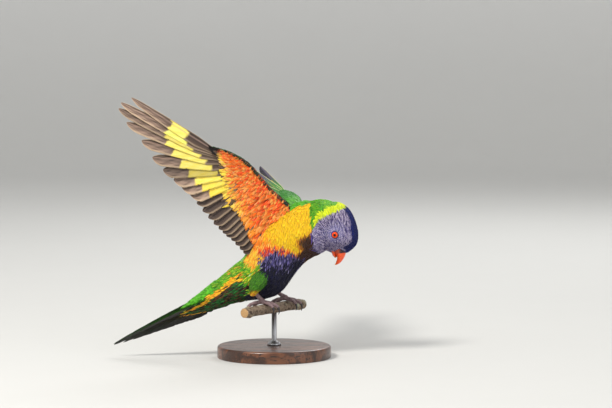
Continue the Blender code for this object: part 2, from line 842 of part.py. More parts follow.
def build_stand(finishes):
    """A cut length of twig across the stand, a rod and a round base."""
    heading = unit((*np.subtract(LEFT_FOOT, RIGHT_FOOT), 0.0))
    path, radii = [], []
    for share in np.linspace(-1.0, 1.0, 11):
        bend = 1.4 * max(0.0, abs(share) - 0.5)
        sway = np.cross(heading, Z_AXIS) * bend * math.copysign(1.0, share)
        path.append(heading * PERCH_HALF_LENGTH * share + sway + Z_AXIS * (PERCH_TOP - PERCH_RADIUS - bend))
        knot = 0.9 * math.exp(-(((abs(share) - 0.86) / 0.05) ** 2))
        radii.append(PERCH_RADIUS - 0.5 * abs(share) + knot - (0.5 if abs(share) > 0.99 else 0.0))
    perch = solid("perch", path_tube(path, radii, 14), finishes["bark"])
    smooth(perch)
    top = PERCH_TOP - PERCH_RADIUS
    floor = BASE_HEIGHT + GAP
    profile = (
        (FERRULE_RADIUS, floor),
        (FERRULE_RADIUS, floor + 1.2),
        (ROD_RADIUS + 1.4, floor + FERRULE_HEIGHT),
        (ROD_RADIUS, floor + FERRULE_HEIGHT + 0.4),
        (ROD_RADIUS, top),
    )
    rod = solid("stand_rod", turned_profile(profile, 16), finishes["rod"])
    seat = grown(perch)
    cut(rod, [seat])
    discard(seat)
    smooth(rod)
    profile = (
        (BASE_RADIUS - 0.8, 0.0),
        (BASE_RADIUS, 0.8),
        (BASE_RADIUS, BASE_HEIGHT - BASE_EDGE),
        (BASE_RADIUS - BASE_EDGE * 0.3, BASE_HEIGHT - BASE_EDGE * 0.3),
        (BASE_RADIUS - BASE_EDGE, BASE_HEIGHT),
    )
    smooth(solid("stand_base", turned_profile(profile, 40), finishes["wood"]))


def finishes_of_the_bird():
    return {
        "belly": material("belly_blue", (0.03, 0.03, 0.16), 0.75),
        "breast": material("breast_orange", (0.95, 0.5, 0.04), 0.75),
        "head": material("head_violet_blue", (0.16, 0.13, 0.42), 0.7),
        "green": material("thigh_green", (0.14, 0.42, 0.05), 0.75),
        "tail": material("tail_dark_green", (0.05, 0.13, 0.03), 0.6),
        "wing": material("wing_orange_brown", (0.55, 0.25, 0.1), 0.65),
        "bill": material("bill_orange_red", (0.85, 0.16, 0.03), 0.35),
        "cere": material("cere_grey", (0.08, 0.07, 0.07), 0.55),
        "eye": material("eye_orange_red", (0.8, 0.15, 0.03), 0.1),
        "foot": material("foot_grey", (0.3, 0.25, 0.25), 0.7),
        "claw": material("claw_dark_grey", (0.07, 0.06, 0.06), 0.4),
        "bark": material("twig_bark", (0.25, 0.17, 0.11), 0.85),
        "rod": material("rod_steel", (0.5, 0.5, 0.5), 0.35, 1.0),
        "wood": material("base_wood", (0.3, 0.18, 0.1), 0.5),
    }


def main():
    for old in list(bpy.data.objects):
        bpy.data.objects.remove(old)
    finishes = finishes_of_the_bird()
    torso, neck, head, tail = parted_body(finishes)
    build_head_parts(head, finishes)
    thighs = [
        build_leg("right", RIGHT_THIGH, RIGHT_FOOT, RIGHT_ANKLE, torso, finishes),
        build_leg("left", LEFT_THIGH, LEFT_FOOT, LEFT_ANKLE, torso, finishes),
    ]
    build_tail(tail)
    for side in ("right", "left"):
        build_wing(side, [torso, neck], finishes)
    build_stand(finishes)
    for piece in (torso, neck):
        smooth(piece)


main()
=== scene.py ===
import math

import bmesh
import bpy
import numpy as np
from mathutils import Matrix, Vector
from mathutils.bvhtree import BVHTree
from mathutils.kdtree import KDTree


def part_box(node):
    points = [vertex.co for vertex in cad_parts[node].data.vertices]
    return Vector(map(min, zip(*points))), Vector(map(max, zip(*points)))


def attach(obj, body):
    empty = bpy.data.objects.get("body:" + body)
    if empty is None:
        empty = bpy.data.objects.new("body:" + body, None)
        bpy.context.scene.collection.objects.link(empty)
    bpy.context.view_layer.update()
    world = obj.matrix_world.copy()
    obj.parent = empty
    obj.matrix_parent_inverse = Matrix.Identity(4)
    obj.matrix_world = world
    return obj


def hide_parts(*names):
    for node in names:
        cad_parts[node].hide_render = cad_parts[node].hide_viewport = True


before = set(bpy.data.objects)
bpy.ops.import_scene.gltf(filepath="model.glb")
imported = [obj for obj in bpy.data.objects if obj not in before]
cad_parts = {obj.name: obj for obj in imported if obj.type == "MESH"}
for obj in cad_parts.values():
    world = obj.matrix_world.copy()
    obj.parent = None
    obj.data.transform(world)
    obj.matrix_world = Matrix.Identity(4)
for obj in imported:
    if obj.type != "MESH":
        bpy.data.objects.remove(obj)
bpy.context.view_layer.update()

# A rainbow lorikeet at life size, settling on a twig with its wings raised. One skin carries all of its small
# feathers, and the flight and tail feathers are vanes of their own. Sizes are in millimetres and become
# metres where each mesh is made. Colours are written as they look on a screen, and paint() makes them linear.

MM = 0.001
BAKE_MAP = "OFBake"

# Pose: angles in degrees
BODY_ROLL = 30.0
HEAD_PITCH = -82.0
HEAD_ROLL = -12.0
WING_AXIS_PITCH = 45.0
RIGHT_WING_RAISE = 77.0
LEFT_WING_RAISE = 12.0
LEFT_WING_FORWARD = 6.0
LEFT_WING_NOSE_DOWN = 32.0
TAIL_DROOP = 28.0

# Body stations from the tail coverts to the front of the breast: x, z, half depth, half width
BODY_STATIONS = (
    (-94.0, 43.0, 1.2, 9.0),
    (-85.0, 48.0, 3.8, 12.2),
    (-74.0, 53.5, 7.6, 13.4),
    (-60.0, 60.5, 11.8, 14.2),
    (-47.0, 67.5, 15.2, 16.4),
    (-33.0, 74.5, 19.4, 19.6),
    (-17.0, 80.0, 25.0, 23.6),
    (-8.5, 88.0, 27.6, 25.2),
    (-1.0, 98.5, 26.8, 26.0),
    (9.0, 111.0, 26.6, 26.5),
    (21.0, 122.0, 28.2, 26.8),
    (32.5, 128.9, 30.0, 25.4),
    (42.0, 134.1, 27.6, 22.8),
    (50.0, 138.2, 21.0, 18.0),
    (55.0, 140.5, 11.5, 10.0),
)
HEAD_CENTRE = np.array((61.0, 0.0, 127.0))
BILL_ROOT = (17.0, 2.6)
EYE_FORWARD = 2.5
EYE_HEIGHT = 3.1
EYE_SIDE = 15.6
EYE_RADIUS = 3.9
EYE_OPENING = 3.3

# Bill stations in the head's frame: forward, height, half height, half width
UPPER_BILL = (
    (15.5, 2.6, 5.2, 6.2),
    (20.0, 2.7, 5.5, 6.2),
    (23.5, 2.6, 5.0, 5.6),
    (26.8, 1.8, 3.7, 4.6),
    (29.8, 0.1, 2.6, 3.2),
    (32.0, -2.0, 1.7, 2.0),
    (33.3, -3.9, 0.8, 0.9),
    (33.8, -5.0, 0.2, 0.2),
)
LOWER_BILL = (
    (15.5, -3.4, 2.6, 5.2),
    (20.0, -3.8, 2.4, 5.0),
    (23.0, -3.9, 2.0, 4.2),
    (25.4, -3.4, 1.2, 2.8),
    (26.8, -2.8, 0.4, 1.0),
)
CERE_REACH = (17.5, 22.4)
CERE_STANDS_PROUD = 0.95
NOSTRIL_PLACE = (20.6, 6.3, 4.9)

# Wing plan: outward from the shoulder, and forward
SHOULDER_ALONG_SIDE = 17.0
SHOULDER_ALONG_BACK = 20.4
SHOULDER_STATION = (32.0, 0.0, 131.0)
ARM_BONES = ((4.0, -17.0), (24.0, -19.0), (57.0, -3.0), (91.0, -8.0))
# outward, leading edge, trailing edge, thickness
ARM_STATIONS = (
    (-16.0, 2.5, -22.0, 13.0),
    (4.0, 5.2, -24.0, 11.4),
    (16.0, 4.6, -25.0, 10.0),
    (28.0, 4.2, -24.0, 8.8),
    (42.0, 5.4, -17.5, 7.8),
    (57.0, 7.0, -11.0, 6.8),
    (72.0, 5.4, -12.5, 5.2),
    (86.0, 0.8, -14.0, 3.8),
    (97.0, -5.0, -14.0, 2.2),
    (102.0, -8.5, -12.5, 0.9),
)
WING_CAMBER = 6.0
WING_TIP_RISE = 9.0
PRIMARIES = (
    (24.0, 58.5),
    (29.5, 62.0),
    (36.0, 66.0),
    (43.5, 73.0),
    (51.5, 81.0),
    (59.5, 91.0),
    (65.5, 107.0),
    (71.0, 116.0),
    (74.0, 113.0),
    (78.0, 103.0),
)
SECONDARY_COUNT = 11
SECONDARY_SWINGS = (-5.0, -2.0, 2.0, 16.0)
SECONDARY_LENGTHS = (45.0, 42.0, 50.0, 57.0)
PRIMARY_WIDTH = 12.0
SECONDARY_WIDTH = 13.0
OUTER_WEB_SHARE = 0.32
VANE_TILT = 9.0

# Tail feathers from the middle pair outwards
TAIL_ROOT = (-56.0, 0.0, 64.0)
TAIL_LENGTHS = (117.0, 108.0, 98.0, 87.0, 75.0, 62.0)
TAIL_SPREAD = 1.5
TAIL_ROOT_SPACING = 1.15
TAIL_STEP = 0.9
TAIL_STACK = 9.0
TAIL_FAN_DROP = 0.006
TAIL_TILT = 2.5
TAIL_CLOSING = 0.62
TAIL_WIDTH = 13.5

# Legs, perch and stand
RIGHT_THIGH = ((-6.0, -14.0, 92.0), (-20.5, -24.0, 67.5))
LEFT_THIGH = ((-15.0, 12.0, 84.0), (-1.5, 18.5, 63.0))
RIGHT_FOOT = (-11.3, -16.5)
LEFT_FOOT = (11.3, 16.5)
RIGHT_ANKLE = (-20.5, -23.5, 66.5)
LEFT_ANKLE = (-1.5, 18.2, 63.5)
FOOT_YAW = -17.0
TOE_RADIUS = 1.9
# Toes: yaw from the foot's heading, reach, last angle over the twig, claw length
TOES = (
    (180.0 - 11.0, 10.5, 66.0, 6.0),
    (-13.0, 13.0, 70.0, 7.0),
    (11.0, 16.5, 72.0, 7.5),
    (180.0 + 12.0, 15.5, 72.0, 7.0),
)
PERCH_TOP = 55.0
PERCH_RADIUS = 5.4
PERCH_HALF_LENGTH = 50.0

X_AXIS = np.array((1.0, 0.0, 0.0))
Y_AXIS = np.array((0.0, 1.0, 0.0))
Z_AXIS = np.array((0.0, 0.0, 1.0))

# The bird's colours
NAVY = (0.05, 0.05, 0.25)
BLUE_BLACK = (0.03, 0.03, 0.12)
VIOLET = (0.40, 0.32, 0.68)
DEEP_VIOLET = (0.12, 0.08, 0.34)
PALE_VIOLET = (0.95, 0.90, 1.0)
# The crown's deeper blue, partly painted shade
CROWN_BLUE_WITH_SHADE = (0.03, 0.13, 0.58)
COLLAR_YELLOW = (0.94, 0.95, 0.10)
LEAF_GREEN = (0.34, 0.69, 0.08)
DEEP_GREEN = (0.12, 0.44, 0.08)
LIME = (0.66, 0.82, 0.10)
BLACK_GREEN = (0.05, 0.12, 0.05)
YELLOW = (1.0, 0.82, 0.04)
ORANGE = (1.0, 0.58, 0.08)
RED_ORANGE = (0.97, 0.32, 0.08)
# Painted shade: the dark brown of the throat and of the breast's fold under the chin
PAINTED_THROAT_SHADE = (0.14, 0.055, 0.03)
BAND_YELLOW = (0.98, 0.88, 0.30)
GREY_BROWN = (0.38, 0.30, 0.25)
DARK_BROWN = (0.15, 0.12, 0.12)
# Mauve: painted sheen on the flight feathers
MAUVE_SHEEN = (0.75, 0.63, 0.55)
# Slate violet: painted sheen on green feathers
SLATE_VIOLET_SHEEN = (0.27, 0.24, 0.32)
# Cream: painted highlight on feather edges
CREAM_HIGHLIGHT = (0.98, 0.93, 0.62)
RUST = (0.75, 0.20, 0.05)


def paint(colour):
    """A colour as it looks on a screen, made linear."""
    colour = np.array(colour, float)
    return np.where(colour <= 0.04045, colour / 12.92, ((colour + 0.055) / 1.055) ** 2.4)


def dye(colour):
    """A screen colour as the value of a shader's colour socket."""
    return (*paint(colour), 1.0)


def unit(vector):
    vector = np.array(vector, float)
    return vector / np.maximum(np.linalg.norm(vector, axis=-1, keepdims=True), 1e-9)


def turned(angle):
    """The cosine and sine of an angle in degrees, or of many."""
    return np.cos(np.radians(angle)), np.sin(np.radians(angle))


def ease(value, start, end):
    """0 before start and 1 after end, with a smooth rise between."""
    share = np.clip((np.asarray(value, float) - start) / (end - start), 0.0, 1.0)
    return share * share * (3.0 - 2.0 * share)


def blend_colours(first, second, share):
    share = np.asarray(share, float)[..., None]
    return np.asarray(first) * (1.0 - share) + np.asarray(second) * share


def tint(colours, colour, share):
    """Blends a screen colour into linear colours."""
    return blend_colours(colours, paint(colour), share)


def plain(colour, shape):
    """A screen colour, made linear, all over an array of a shape."""
    return np.broadcast_to(paint(colour), (*shape, 3))


def ripple(points, size, seed=0.0):
    """A smooth uneven value from -1 to 1 over space, with features of about a size."""
    x, y, z = np.moveaxis(points / size, -1, 0)
    first = np.sin(x * 1.7 + 2.1 * y + seed) * np.cos(z * 1.9 - y + 1.3 * seed)
    second = np.sin(z * 3.1 + 1.1 * x + 0.7 * seed) * np.cos(y * 2.7 - 2.3 * x)
    return 0.62 * first + 0.38 * second


def through(stations, count):
    """Rows read evenly along a smooth curve through the stations, column by column."""
    stations = np.array(stations, float)
    slopes = np.gradient(stations, axis=0)
    last = len(stations) - 1
    rows = []
    for place in np.linspace(0, last, count):
        i = min(int(place), last - 1)
        t = place - i
        rows.append(
            (2 * t**3 - 3 * t**2 + 1) * stations[i]
            + (t**3 - 2 * t**2 + t) * slopes[i]
            + (3 * t**2 - 2 * t**3) * stations[i + 1]
            + (t**3 - t**2) * slopes[i + 1]
        )
    return np.array(rows)


def read_between(values, share):
    """The value at a share from 0 to 1 along evenly spaced values."""
    return float(np.interp(share * (len(values) - 1), range(len(values)), values))


def round_angles(count):
    """Angles spaced evenly round a circle."""
    return np.arange(count) / count * 2 * math.pi


def distances(path):
    """How far along a path each of its points lies."""
    return np.concatenate([[0.0], np.cumsum(np.linalg.norm(np.diff(path, axis=0), axis=1))])


def search_tree(points):
    """A tree that finds points by their places."""
    tree = KDTree(len(points))
    for i, point in enumerate(points.tolist()):
        tree.insert(point, i)
    tree.balance()
    return tree


# Frames of the body, the head and the wings


def side_view_frame(pitch, roll):
    """(forward, up, right) for a part pitched up from +X, then rolled so that its underside turns to -Y."""
    c, s = turned(pitch)
    forward = np.array((c, 0.0, s))
    upright = np.array((-s, 0.0, c))
    cr, sr = turned(roll)
    return forward, upright * cr + Y_AXIS * sr, -Y_AXIS * cr + upright * sr


HEAD_AHEAD, HEAD_UP, HEAD_RIGHT = side_view_frame(HEAD_PITCH, HEAD_ROLL)


def head_point(forward, height, side):
    return HEAD_CENTRE + forward * HEAD_AHEAD + height * HEAD_UP + side * HEAD_RIGHT


def on_head(points):
    """How far points lie forward, up and right in the head's frame."""
    away = points - HEAD_CENTRE
    return away @ HEAD_AHEAD, away @ HEAD_UP, away @ HEAD_RIGHT


class Spine:
    """The body's middle line, which says how far along and how far round the body a point lies."""

    def __init__(self):
        rows = through(BODY_STATIONS, 160)
        self.line = np.stack([rows[:, 0], 0.0 * rows[:, 0], rows[:, 1]], axis=1)
        slopes = np.gradient(self.line, axis=0)
        kernel = np.ones(31) / 31
        for axis in (0, 2):
            slopes[:, axis] = np.convolve(np.pad(slopes[:, axis], 15, mode="edge"), kernel, mode="valid")
        self.along = unit(slopes)
        upright = np.stack([-self.along[:, 2], 0.0 * self.along[:, 0], self.along[:, 0]], axis=1)
        c, s = turned(BODY_ROLL)
        self.up = upright * c + Y_AXIS * s
        self.right = -Y_AXIS * c + upright * s

    def nearest(self, points):
        """Which row of the middle line lies nearest to each point, a batch at a time to spare memory."""
        nearest = np.empty(len(points), int)
        batch = 20000
        for start in range(0, len(points), batch):
            part = points[start : start + batch]
            gaps = ((part[:, None, :] - self.line[None, :, :]) ** 2).sum(axis=2)
            nearest[start : start + batch] = gaps.argmin(axis=1)
        return nearest

    def place(self, points):
        """(station x, turn in degrees from the middle of the back to the right) of each point."""
        at = self.nearest(points)
        away = points - self.line[at]
        across = (away * self.right[at]).sum(axis=1)
        above = (away * self.up[at]).sum(axis=1)
        return self.line[at, 0], np.degrees(np.arctan2(across, above))

    def flow(self, points):
        """The way the body's feathers point: to the tail, and down round the breast."""
        at = self.nearest(points)
        station, turn = self.place(points)
        angle = np.radians(turn)[:, None]
        around = np.sign(angle) * (self.right[at] * np.cos(angle) - self.up[at] * np.sin(angle))
        swing = np.interp(station, (-30.0, -8.0, 12.0, 32.0), (0.0, 14.0, 42.0, 56.0))
        swing = np.radians(swing * ease(np.abs(turn), 30, 65) * ease(np.abs(turn), 178, 140))[:, None]
        return around * np.sin(swing) - self.along[at] * np.cos(swing)


SPINE = Spine()


class Wing:
    """Places points given in a wing's own plan: outward, forward, and height on the upper side."""

    def __init__(self, right_side):
        _, back, right = side_view_frame(WING_AXIS_PITCH, BODY_ROLL)
        along, across, _ = side_view_frame(WING_AXIS_PITCH, 0.0)
        sign = 1.0 if right_side else -1.0
        self.sign = sign
        self.shoulder = SHOULDER_STATION + sign * SHOULDER_ALONG_SIDE * right + SHOULDER_ALONG_BACK * back
        c, s = turned(RIGHT_WING_RAISE if right_side else LEFT_WING_RAISE)
        outward = -sign * Y_AXIS * c + across * s
        c, s = turned(0.0 if right_side else LEFT_WING_FORWARD)
        self.outward = outward * c + along * s
        forward = along * c - outward * s
        up = sign * np.cross(self.outward, forward)
        c, s = turned(0.0 if right_side else LEFT_WING_NOSE_DOWN)
        self.forward = forward * c - up * s
        self.up = up * c + forward * s
        self.frame = np.array([self.outward, self.forward, self.up])

    def points(self, outward, forward, height):
        """Points at places in the wing's plan, with the camber behind the arm and the rise of its tip."""
        behind = np.maximum(0.0, -forward - 8.0) / 52.0
        beyond = np.maximum(0.0, outward - 60.0) / 133.0
        height = height - WING_CAMBER * behind**2 + WING_TIP_RISE * beyond**2
        return self.shoulder + np.stack([outward, forward, height], axis=-1) @ self.frame

    def place(self, points):
        """Where points lie in the wing's plan."""
        return (points - self.shoulder) @ self.frame.T


WINGS = {"right": Wing(True), "left": Wing(False)}


def along_arm(place):
    """The points at distances along the bones that the flight feathers grow from."""
    along = distances(ARM_BONES)
    return np.stack([np.interp(place, along, column) for column in zip(*ARM_BONES)], axis=-1)


def arm_at(outward):
    """(leading edge, trailing edge, thickness) of the arm at distances outward from the shoulder."""
    outwards, *columns = np.array(ARM_STATIONS).T
    return [np.interp(outward, outwards, column) for column in columns]


def arm_height(outward, forward):
    """Half the wing's thickness at a place in its plan: the arm, and the flight feathers behind it."""
    lead, trail, thickness = arm_at(outward)
    across = (forward - (lead + trail) / 2) / ((lead - trail) / 2)
    arm = thickness / 2 * np.sqrt(np.clip(1.0 - across**2, 0.0, 1.0))
    behind = np.clip(trail + 6.0 - forward, 0.0, None)
    return np.maximum(arm, 0.35 + 0.25 * thickness * np.exp(-behind / 9.0) * (forward < lead - 3.0))


_, _, WRIST_AT, HAND_END = distances(ARM_BONES)


def flight_feathers():
    """Each flight feather from the body outwards: place along the arm, swing, length, width, tip's taper."""
    for i in range(SECONDARY_COUNT):
        share = i / (SECONDARY_COUNT - 1)
        yield (
            1.0 + share * (WRIST_AT - 3.0),
            read_between(SECONDARY_SWINGS, share),
            read_between(SECONDARY_LENGTHS, share),
            SECONDARY_WIDTH,
            0.78,
        )
    for i, (swing, length) in enumerate(PRIMARIES):
        share = i / (len(PRIMARIES) - 1)
        yield (
            WRIST_AT + (i + 0.5) / len(PRIMARIES) * (HAND_END - WRIST_AT),
            swing,
            length,
            PRIMARY_WIDTH + 3.5 - 5.0 * share,
            0.95 - 0.55 * share**1.5,
        )


FLIGHT_FEATHERS = np.array(list(flight_feathers()))


def on_wing(points):
    """Places in the plan of the wing on their side, (outward, forward, height), and the edge ahead."""
    place = np.empty_like(points)
    for wing in WINGS.values():
        near = (points[:, 1] < 0) == (wing.sign > 0)
        place[near] = wing.place(points[near])
    return place.T, arm_at(place[:, 0])[0]


def swing_over(outward):
    """The swing of the feathers that grow at a distance outward from the shoulder."""
    places, swings = FLIGHT_FEATHERS.T[:2]
    return np.interp(outward, along_arm(places)[:, 0], swings)


# Meshes and objects


def add_object(name, points, faces, finish, slot_name=None, smooth=True):
    """An object from points in millimetres, riding on the model."""
    mesh = bpy.data.meshes.new(name)
    mesh.from_pydata((np.asarray(points) * MM).tolist(), [], faces)
    made = bpy.data.objects.new(name, mesh)
    bpy.context.scene.collection.objects.link(made)
    if smooth:
        mesh.shade_smooth()
    if finish:
        mesh.materials.append(finish)
    if slot_name:
        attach(made, "root")
    return made


def face_out(made):
    """Turns an object's faces outwards."""
    shell = bmesh.new()
    shell.from_mesh(made.data)
    bmesh.ops.recalc_face_normals(shell, faces=shell.faces)
    shell.to_mesh(made.data)
    shell.free()
    return made


def relax(made, rounds):
    """Smooths an object, and applies its modifiers."""
    smoothing = made.modifiers.new("Relax", "SMOOTH")
    smoothing.factor = 0.5
    smoothing.iterations = rounds
    bpy.context.view_layer.update()
    graph = bpy.context.evaluated_depsgraph_get()
    mesh = bpy.data.meshes.new_from_object(made.evaluated_get(graph))
    made.modifiers.clear()
    made.data = mesh


def fuse(made, voxel, rounds):
    """Fuses the closed shapes of an object into one even surface, and smooths it."""
    remesh = made.modifiers.new("Fuse", "REMESH")
    remesh.mode = "VOXEL"
    remesh.voxel_size = voxel * MM
    remesh.use_smooth_shade = True
    relax(made, rounds)


def read_points(mesh):
    """(points in millimetres, normals) of a mesh."""
    fields = []
    for field in ("co", "normal"):
        flat = np.empty(len(mesh.vertices) * 3)
        mesh.vertices.foreach_get(field, flat)
        fields.append(flat.reshape(-1, 3))
    return fields[0] / MM, fields[1]


def move_points(mesh, points):
    mesh.vertices.foreach_set("co", (points * MM).ravel())
    mesh.update()


def ring_faces(count, sides):
    """The faces from each ring of points to the next, and from the last ring to the first."""
    here = np.arange(count * sides).reshape(count, sides)
    ahead = np.roll(here, -1, axis=0)
    corners = [here, np.roll(here, -1, axis=1), np.roll(ahead, -1, axis=1), ahead]
    return np.stack(corners, axis=-1).reshape(-1, 4).tolist()


def tube_of(rings):
    """(points, faces) of a closed tube over rings with equal counts, with a flat fan at each end."""
    rings = np.array(rings, float)
    count, sides = rings.shape[:2]
    points = rings.reshape(-1, 3).tolist()
    faces = ring_faces(count, sides)[:-sides]
    for ring in (0, count - 1):
        points.append(rings[ring].mean(axis=0).tolist())
        faces += [(ring * sides + j, ring * sides + (j + 1) % sides, len(points) - 1) for j in range(sides)]
    return points, faces


def ellipse_ring(centre, up, side, half_up, half_side, sides):
    angles = round_angles(sides)
    return centre + half_up * np.outer(np.cos(angles), up) + half_side * np.outer(np.sin(angles), side)


def path_tube(path, radii, sides):
    """A closed tube along a path in space, with a radius at each point."""
    path = np.array(path, float)
    tangents = unit(np.gradient(path, axis=0))
    side = unit(np.cross(tangents[0], Z_AXIS if abs(tangents[0][2]) < 0.8 else X_AXIS))
    rings = []
    for point, tangent, radius in zip(path, tangents, radii):
        side = unit(side - tangent * (side @ tangent))
        rings.append(ellipse_ring(point, np.cross(side, tangent), side, radius, radius, sides))
    return tube_of(rings)


def turned_shape(profile, sides, centre=(0.0, 0.0, 0.0)):
    """A closed shape turned about an upright axis, from a profile of (radius, height)."""
    return tube_of([ellipse_ring(centre + Z_AXIS * z, X_AXIS, Y_AXIS, r, r, sides) for r, z in profile])


def join_shapes(shapes):
    points, faces = [], []
    for shape_points, shape_faces in shapes:
        start = len(points)
        points += [tuple(p) for p in shape_points]
        faces += [tuple(i + start for i in face) for face in shape_faces]
    return points, faces


def write_attribute(made, name, kind, values):
    """Writes one value for each point of a mesh: a number, a vector or a colour."""
    field = {"FLOAT": "value", "FLOAT_VECTOR": "vector", "FLOAT_COLOR": "color"}[kind]
    values = np.asarray(values, np.float32)
    if kind == "FLOAT_COLOR":
        values = np.concatenate([values, np.ones((len(values), 1), np.float32)], axis=1)
    made.data.attributes.new(name, kind, "POINT").data.foreach_set(field, values.ravel())


def write_bake_map(made, uv):
    """Gives a mesh its bake map, from one place for each point."""
    corners = np.empty(len(made.data.loops), np.int64)
    made.data.loops.foreach_get("vertex_index", corners)
    uv = np.clip(np.asarray(uv, np.float32), 0.001, 0.999)
    made.data.uv_layers.new(name=BAKE_MAP).data.foreach_set("uv", uv[corners].ravel())


# Feathers as closed vanes. A roofed vane is a grid of points over a flat underside, and a plate has a grid on
# each face. Rows run from the root to the tip, and columns across.


def grid_faces(rows, columns):
    """The faces of a grid of points, row by row."""
    corners = [r * columns + c for r in range(rows - 1) for c in range(columns - 1)]
    return [(i, i + 1, i + 1 + columns, i + columns) for i in corners]


def roof_faces(rows, columns):
    """(faces, how many of them are smooth) of one roofed vane."""
    top = grid_faces(rows, columns)
    last = columns - 1
    starts = [row * columns for row in range(rows)]
    under = [(a, b, b + last, a + last) for a, b in zip(starts, starts[1:])]
    root = tuple(range(last, -1, -1))
    tip = tuple(range(starts[-1], starts[-1] + columns))
    return top + under + [root, tip], len(top)


def plate_faces(rows, columns):
    """(faces, how many of them are smooth) of one plate. The second grid's points follow the first's."""
    below = rows * columns
    top = grid_faces(rows, columns)
    under = [tuple(i + below for i in reversed(face)) for face in top]
    grid = np.arange(below).reshape(rows, columns)
    rim = np.concatenate([grid[:, 0], grid[-1, 1:], grid[-2::-1, -1], grid[0, -2:0:-1]]).tolist()
    walls = [(a, b, b + below, a + below) for a, b in zip(rim, rim[1:] + rim[:1])]
    return top + under + walls, len(top) + len(under)


class Plumage:
    """Gathers vanes of one piece, then makes them one mesh."""

    def __init__(self, name):
        self.name = name
        self.points, self.faces, self.smooth = [], [], []
        self.colours, self.vane, self.map = [], [], []
        self.count = 0

    def add(self, grids, colours, across, along, seeds, uv, under=None, under_colours=None):
        """Adds feathers. grids and colours are (feathers, rows, columns, 3), and under and under_colours are
        those of a plate's other face. across and along are millimetres, and uv places in the bake map."""
        number, rows, columns = grids.shape[:3]
        faces, smooth = plate_faces(rows, columns) if under is not None else roof_faces(rows, columns)
        seed = np.broadcast_to(seeds[:, None, None], (number, rows, columns))
        vane = np.stack([across, along, seed], axis=-1)
        if under is not None:
            grids = np.concatenate([grids, under], axis=1)
            colours = np.concatenate([colours, under_colours], axis=1)
            vane = np.concatenate([vane, vane], axis=1)
        each = grids.shape[1] * columns
        self.points.append(grids.reshape(-1, 3))
        self.colours.append(colours.reshape(-1, 3))
        self.vane.append(vane.reshape(-1, 3))
        self.map.append(uv.reshape(-1, 2))
        for i in range(number):
            start = self.count + i * each
            self.faces += [tuple(j + start for j in face) for face in faces]
        self.smooth += ([True] * smooth + [False] * (len(faces) - smooth)) * number
        self.count += number * each

    def build(self, finish, slot_name):
        """Makes the piece, with its colours, its places on each vane and its bake map."""
        made = add_object(self.name, np.concatenate(self.points), self.faces, finish, slot_name, smooth=False)
        made.data.polygons.foreach_set("use_smooth", self.smooth)
        write_attribute(made, "plumage", "FLOAT_COLOR", np.concatenate(self.colours))
        write_attribute(made, "vane", "FLOAT_VECTOR", np.concatenate(self.vane))
        write_bake_map(made, np.concatenate(self.map))
        made.data.update()
        return made


# Shader nodes


class Graph:
    """Adds nodes to a tree. An input is a plain value, or another node's output."""

    def __init__(self, tree):
        self.tree = tree

    def put(self, socket, value):
        if isinstance(value, bpy.types.NodeSocket):
            self.tree.links.new(value, socket)
        else:
            socket.default_value = value

    def node(self, kind, inputs=None, **settings):
        made = self.tree.nodes.new(kind)
        for name, value in settings.items():
            setattr(made, name, value)
        for name, value in (inputs or {}).items():
            self.put(made.inputs[name], value)
        return made

    def math(self, operation, *values, clamp=False):
        inputs = dict(enumerate(values))
        return self.node("ShaderNodeMath", inputs, operation=operation, use_clamp=clamp).outputs[0]

    def mix(self, share, first, second, blend="MIX"):
        made = self.node("ShaderNodeMix", {0: share, 6: first, 7: second}, data_type="RGBA", blend_type=blend)
        return made.outputs[2]

    def spread(self, value, low, high, new_low=0.0, new_high=1.0):
        """Eases a value from one range into another."""
        inputs = {0: value, 1: low, 2: high, 3: new_low, 4: new_high}
        return self.node("ShaderNodeMapRange", inputs, interpolation_type="SMOOTHSTEP").outputs[0]

    def attribute(self, name, output="Fac"):
        return self.node("ShaderNodeAttribute", attribute_name=name).outputs[output]

    def where(self, scale=None, turn=(0.0, 0.0, 0.0)):
        """Places on the object in metres, drawn out where a grain runs one way."""
        place = self.node("ShaderNodeTexCoord").outputs["Object"]
        if scale is None:
            return place
        return self.node("ShaderNodeMapping", {"Vector": place, "Rotation": turn, "Scale": scale}).outputs[0]

    def noise(self, where, scale, detail, distortion=0.0, roughness=0.5):
        inputs = {"Vector": where, "Scale": scale, "Detail": detail, "Roughness": roughness}
        return self.node("ShaderNodeTexNoise", inputs | {"Distortion": distortion}).outputs["Fac"]

    def mottled(self, colour, size, strength):
        """The colour and unevenness that the soft mottle gives."""
        inputs = {"Colour": colour, "Size": size, "Strength": strength}
        return self.node("ShaderNodeGroup", inputs, node_tree=SOFT_MOTTLE).outputs


class Finish(Graph):
    """A material with one Principled shader, and the nodes that feed it."""

    def __init__(self, name):
        self.material = bpy.data.materials.new(name)
        self.material.use_nodes = True
        super().__init__(self.material.node_tree)
        self.tree.nodes.clear()
        self.shader = self.node("ShaderNodeBsdfPrincipled")
        self.node("ShaderNodeOutputMaterial", {"Surface": self.shader.outputs[0]})

    def relief(self, height, strength, depth=0.2):
        """The normal of a bump, with its depth in millimetres."""
        inputs = {"Strength": strength, "Distance": depth * MM, "Height": height}
        return self.node("ShaderNodeBump", inputs).outputs[0]

    def feed(self, **sockets):
        """Gives the shader's sockets plain values or nodes' outputs, and returns the material. A socket is
        named with underscores for spaces."""
        for name, value in sockets.items():
            label = name.replace("_", " ").title().replace("Ior", "IOR")
            self.put(self.shader.inputs[label], value)
        return self.material


def node_group(name, inputs, outputs):
    """A shader group with named value or colour sockets: (graph, what it is given, what it gives back)."""
    group = bpy.data.node_groups.new(name, "ShaderNodeTree")
    for direction, sockets in (("INPUT", inputs), ("OUTPUT", outputs)):
        for label, kind, *value in sockets:
            made = group.interface.new_socket(label, in_out=direction, socket_type=f"NodeSocket{kind}")
            if value:
                made.default_value = value[0]
    graph = Graph(group)
    return graph, graph.node("NodeGroupInput").outputs, graph.node("NodeGroupOutput").inputs


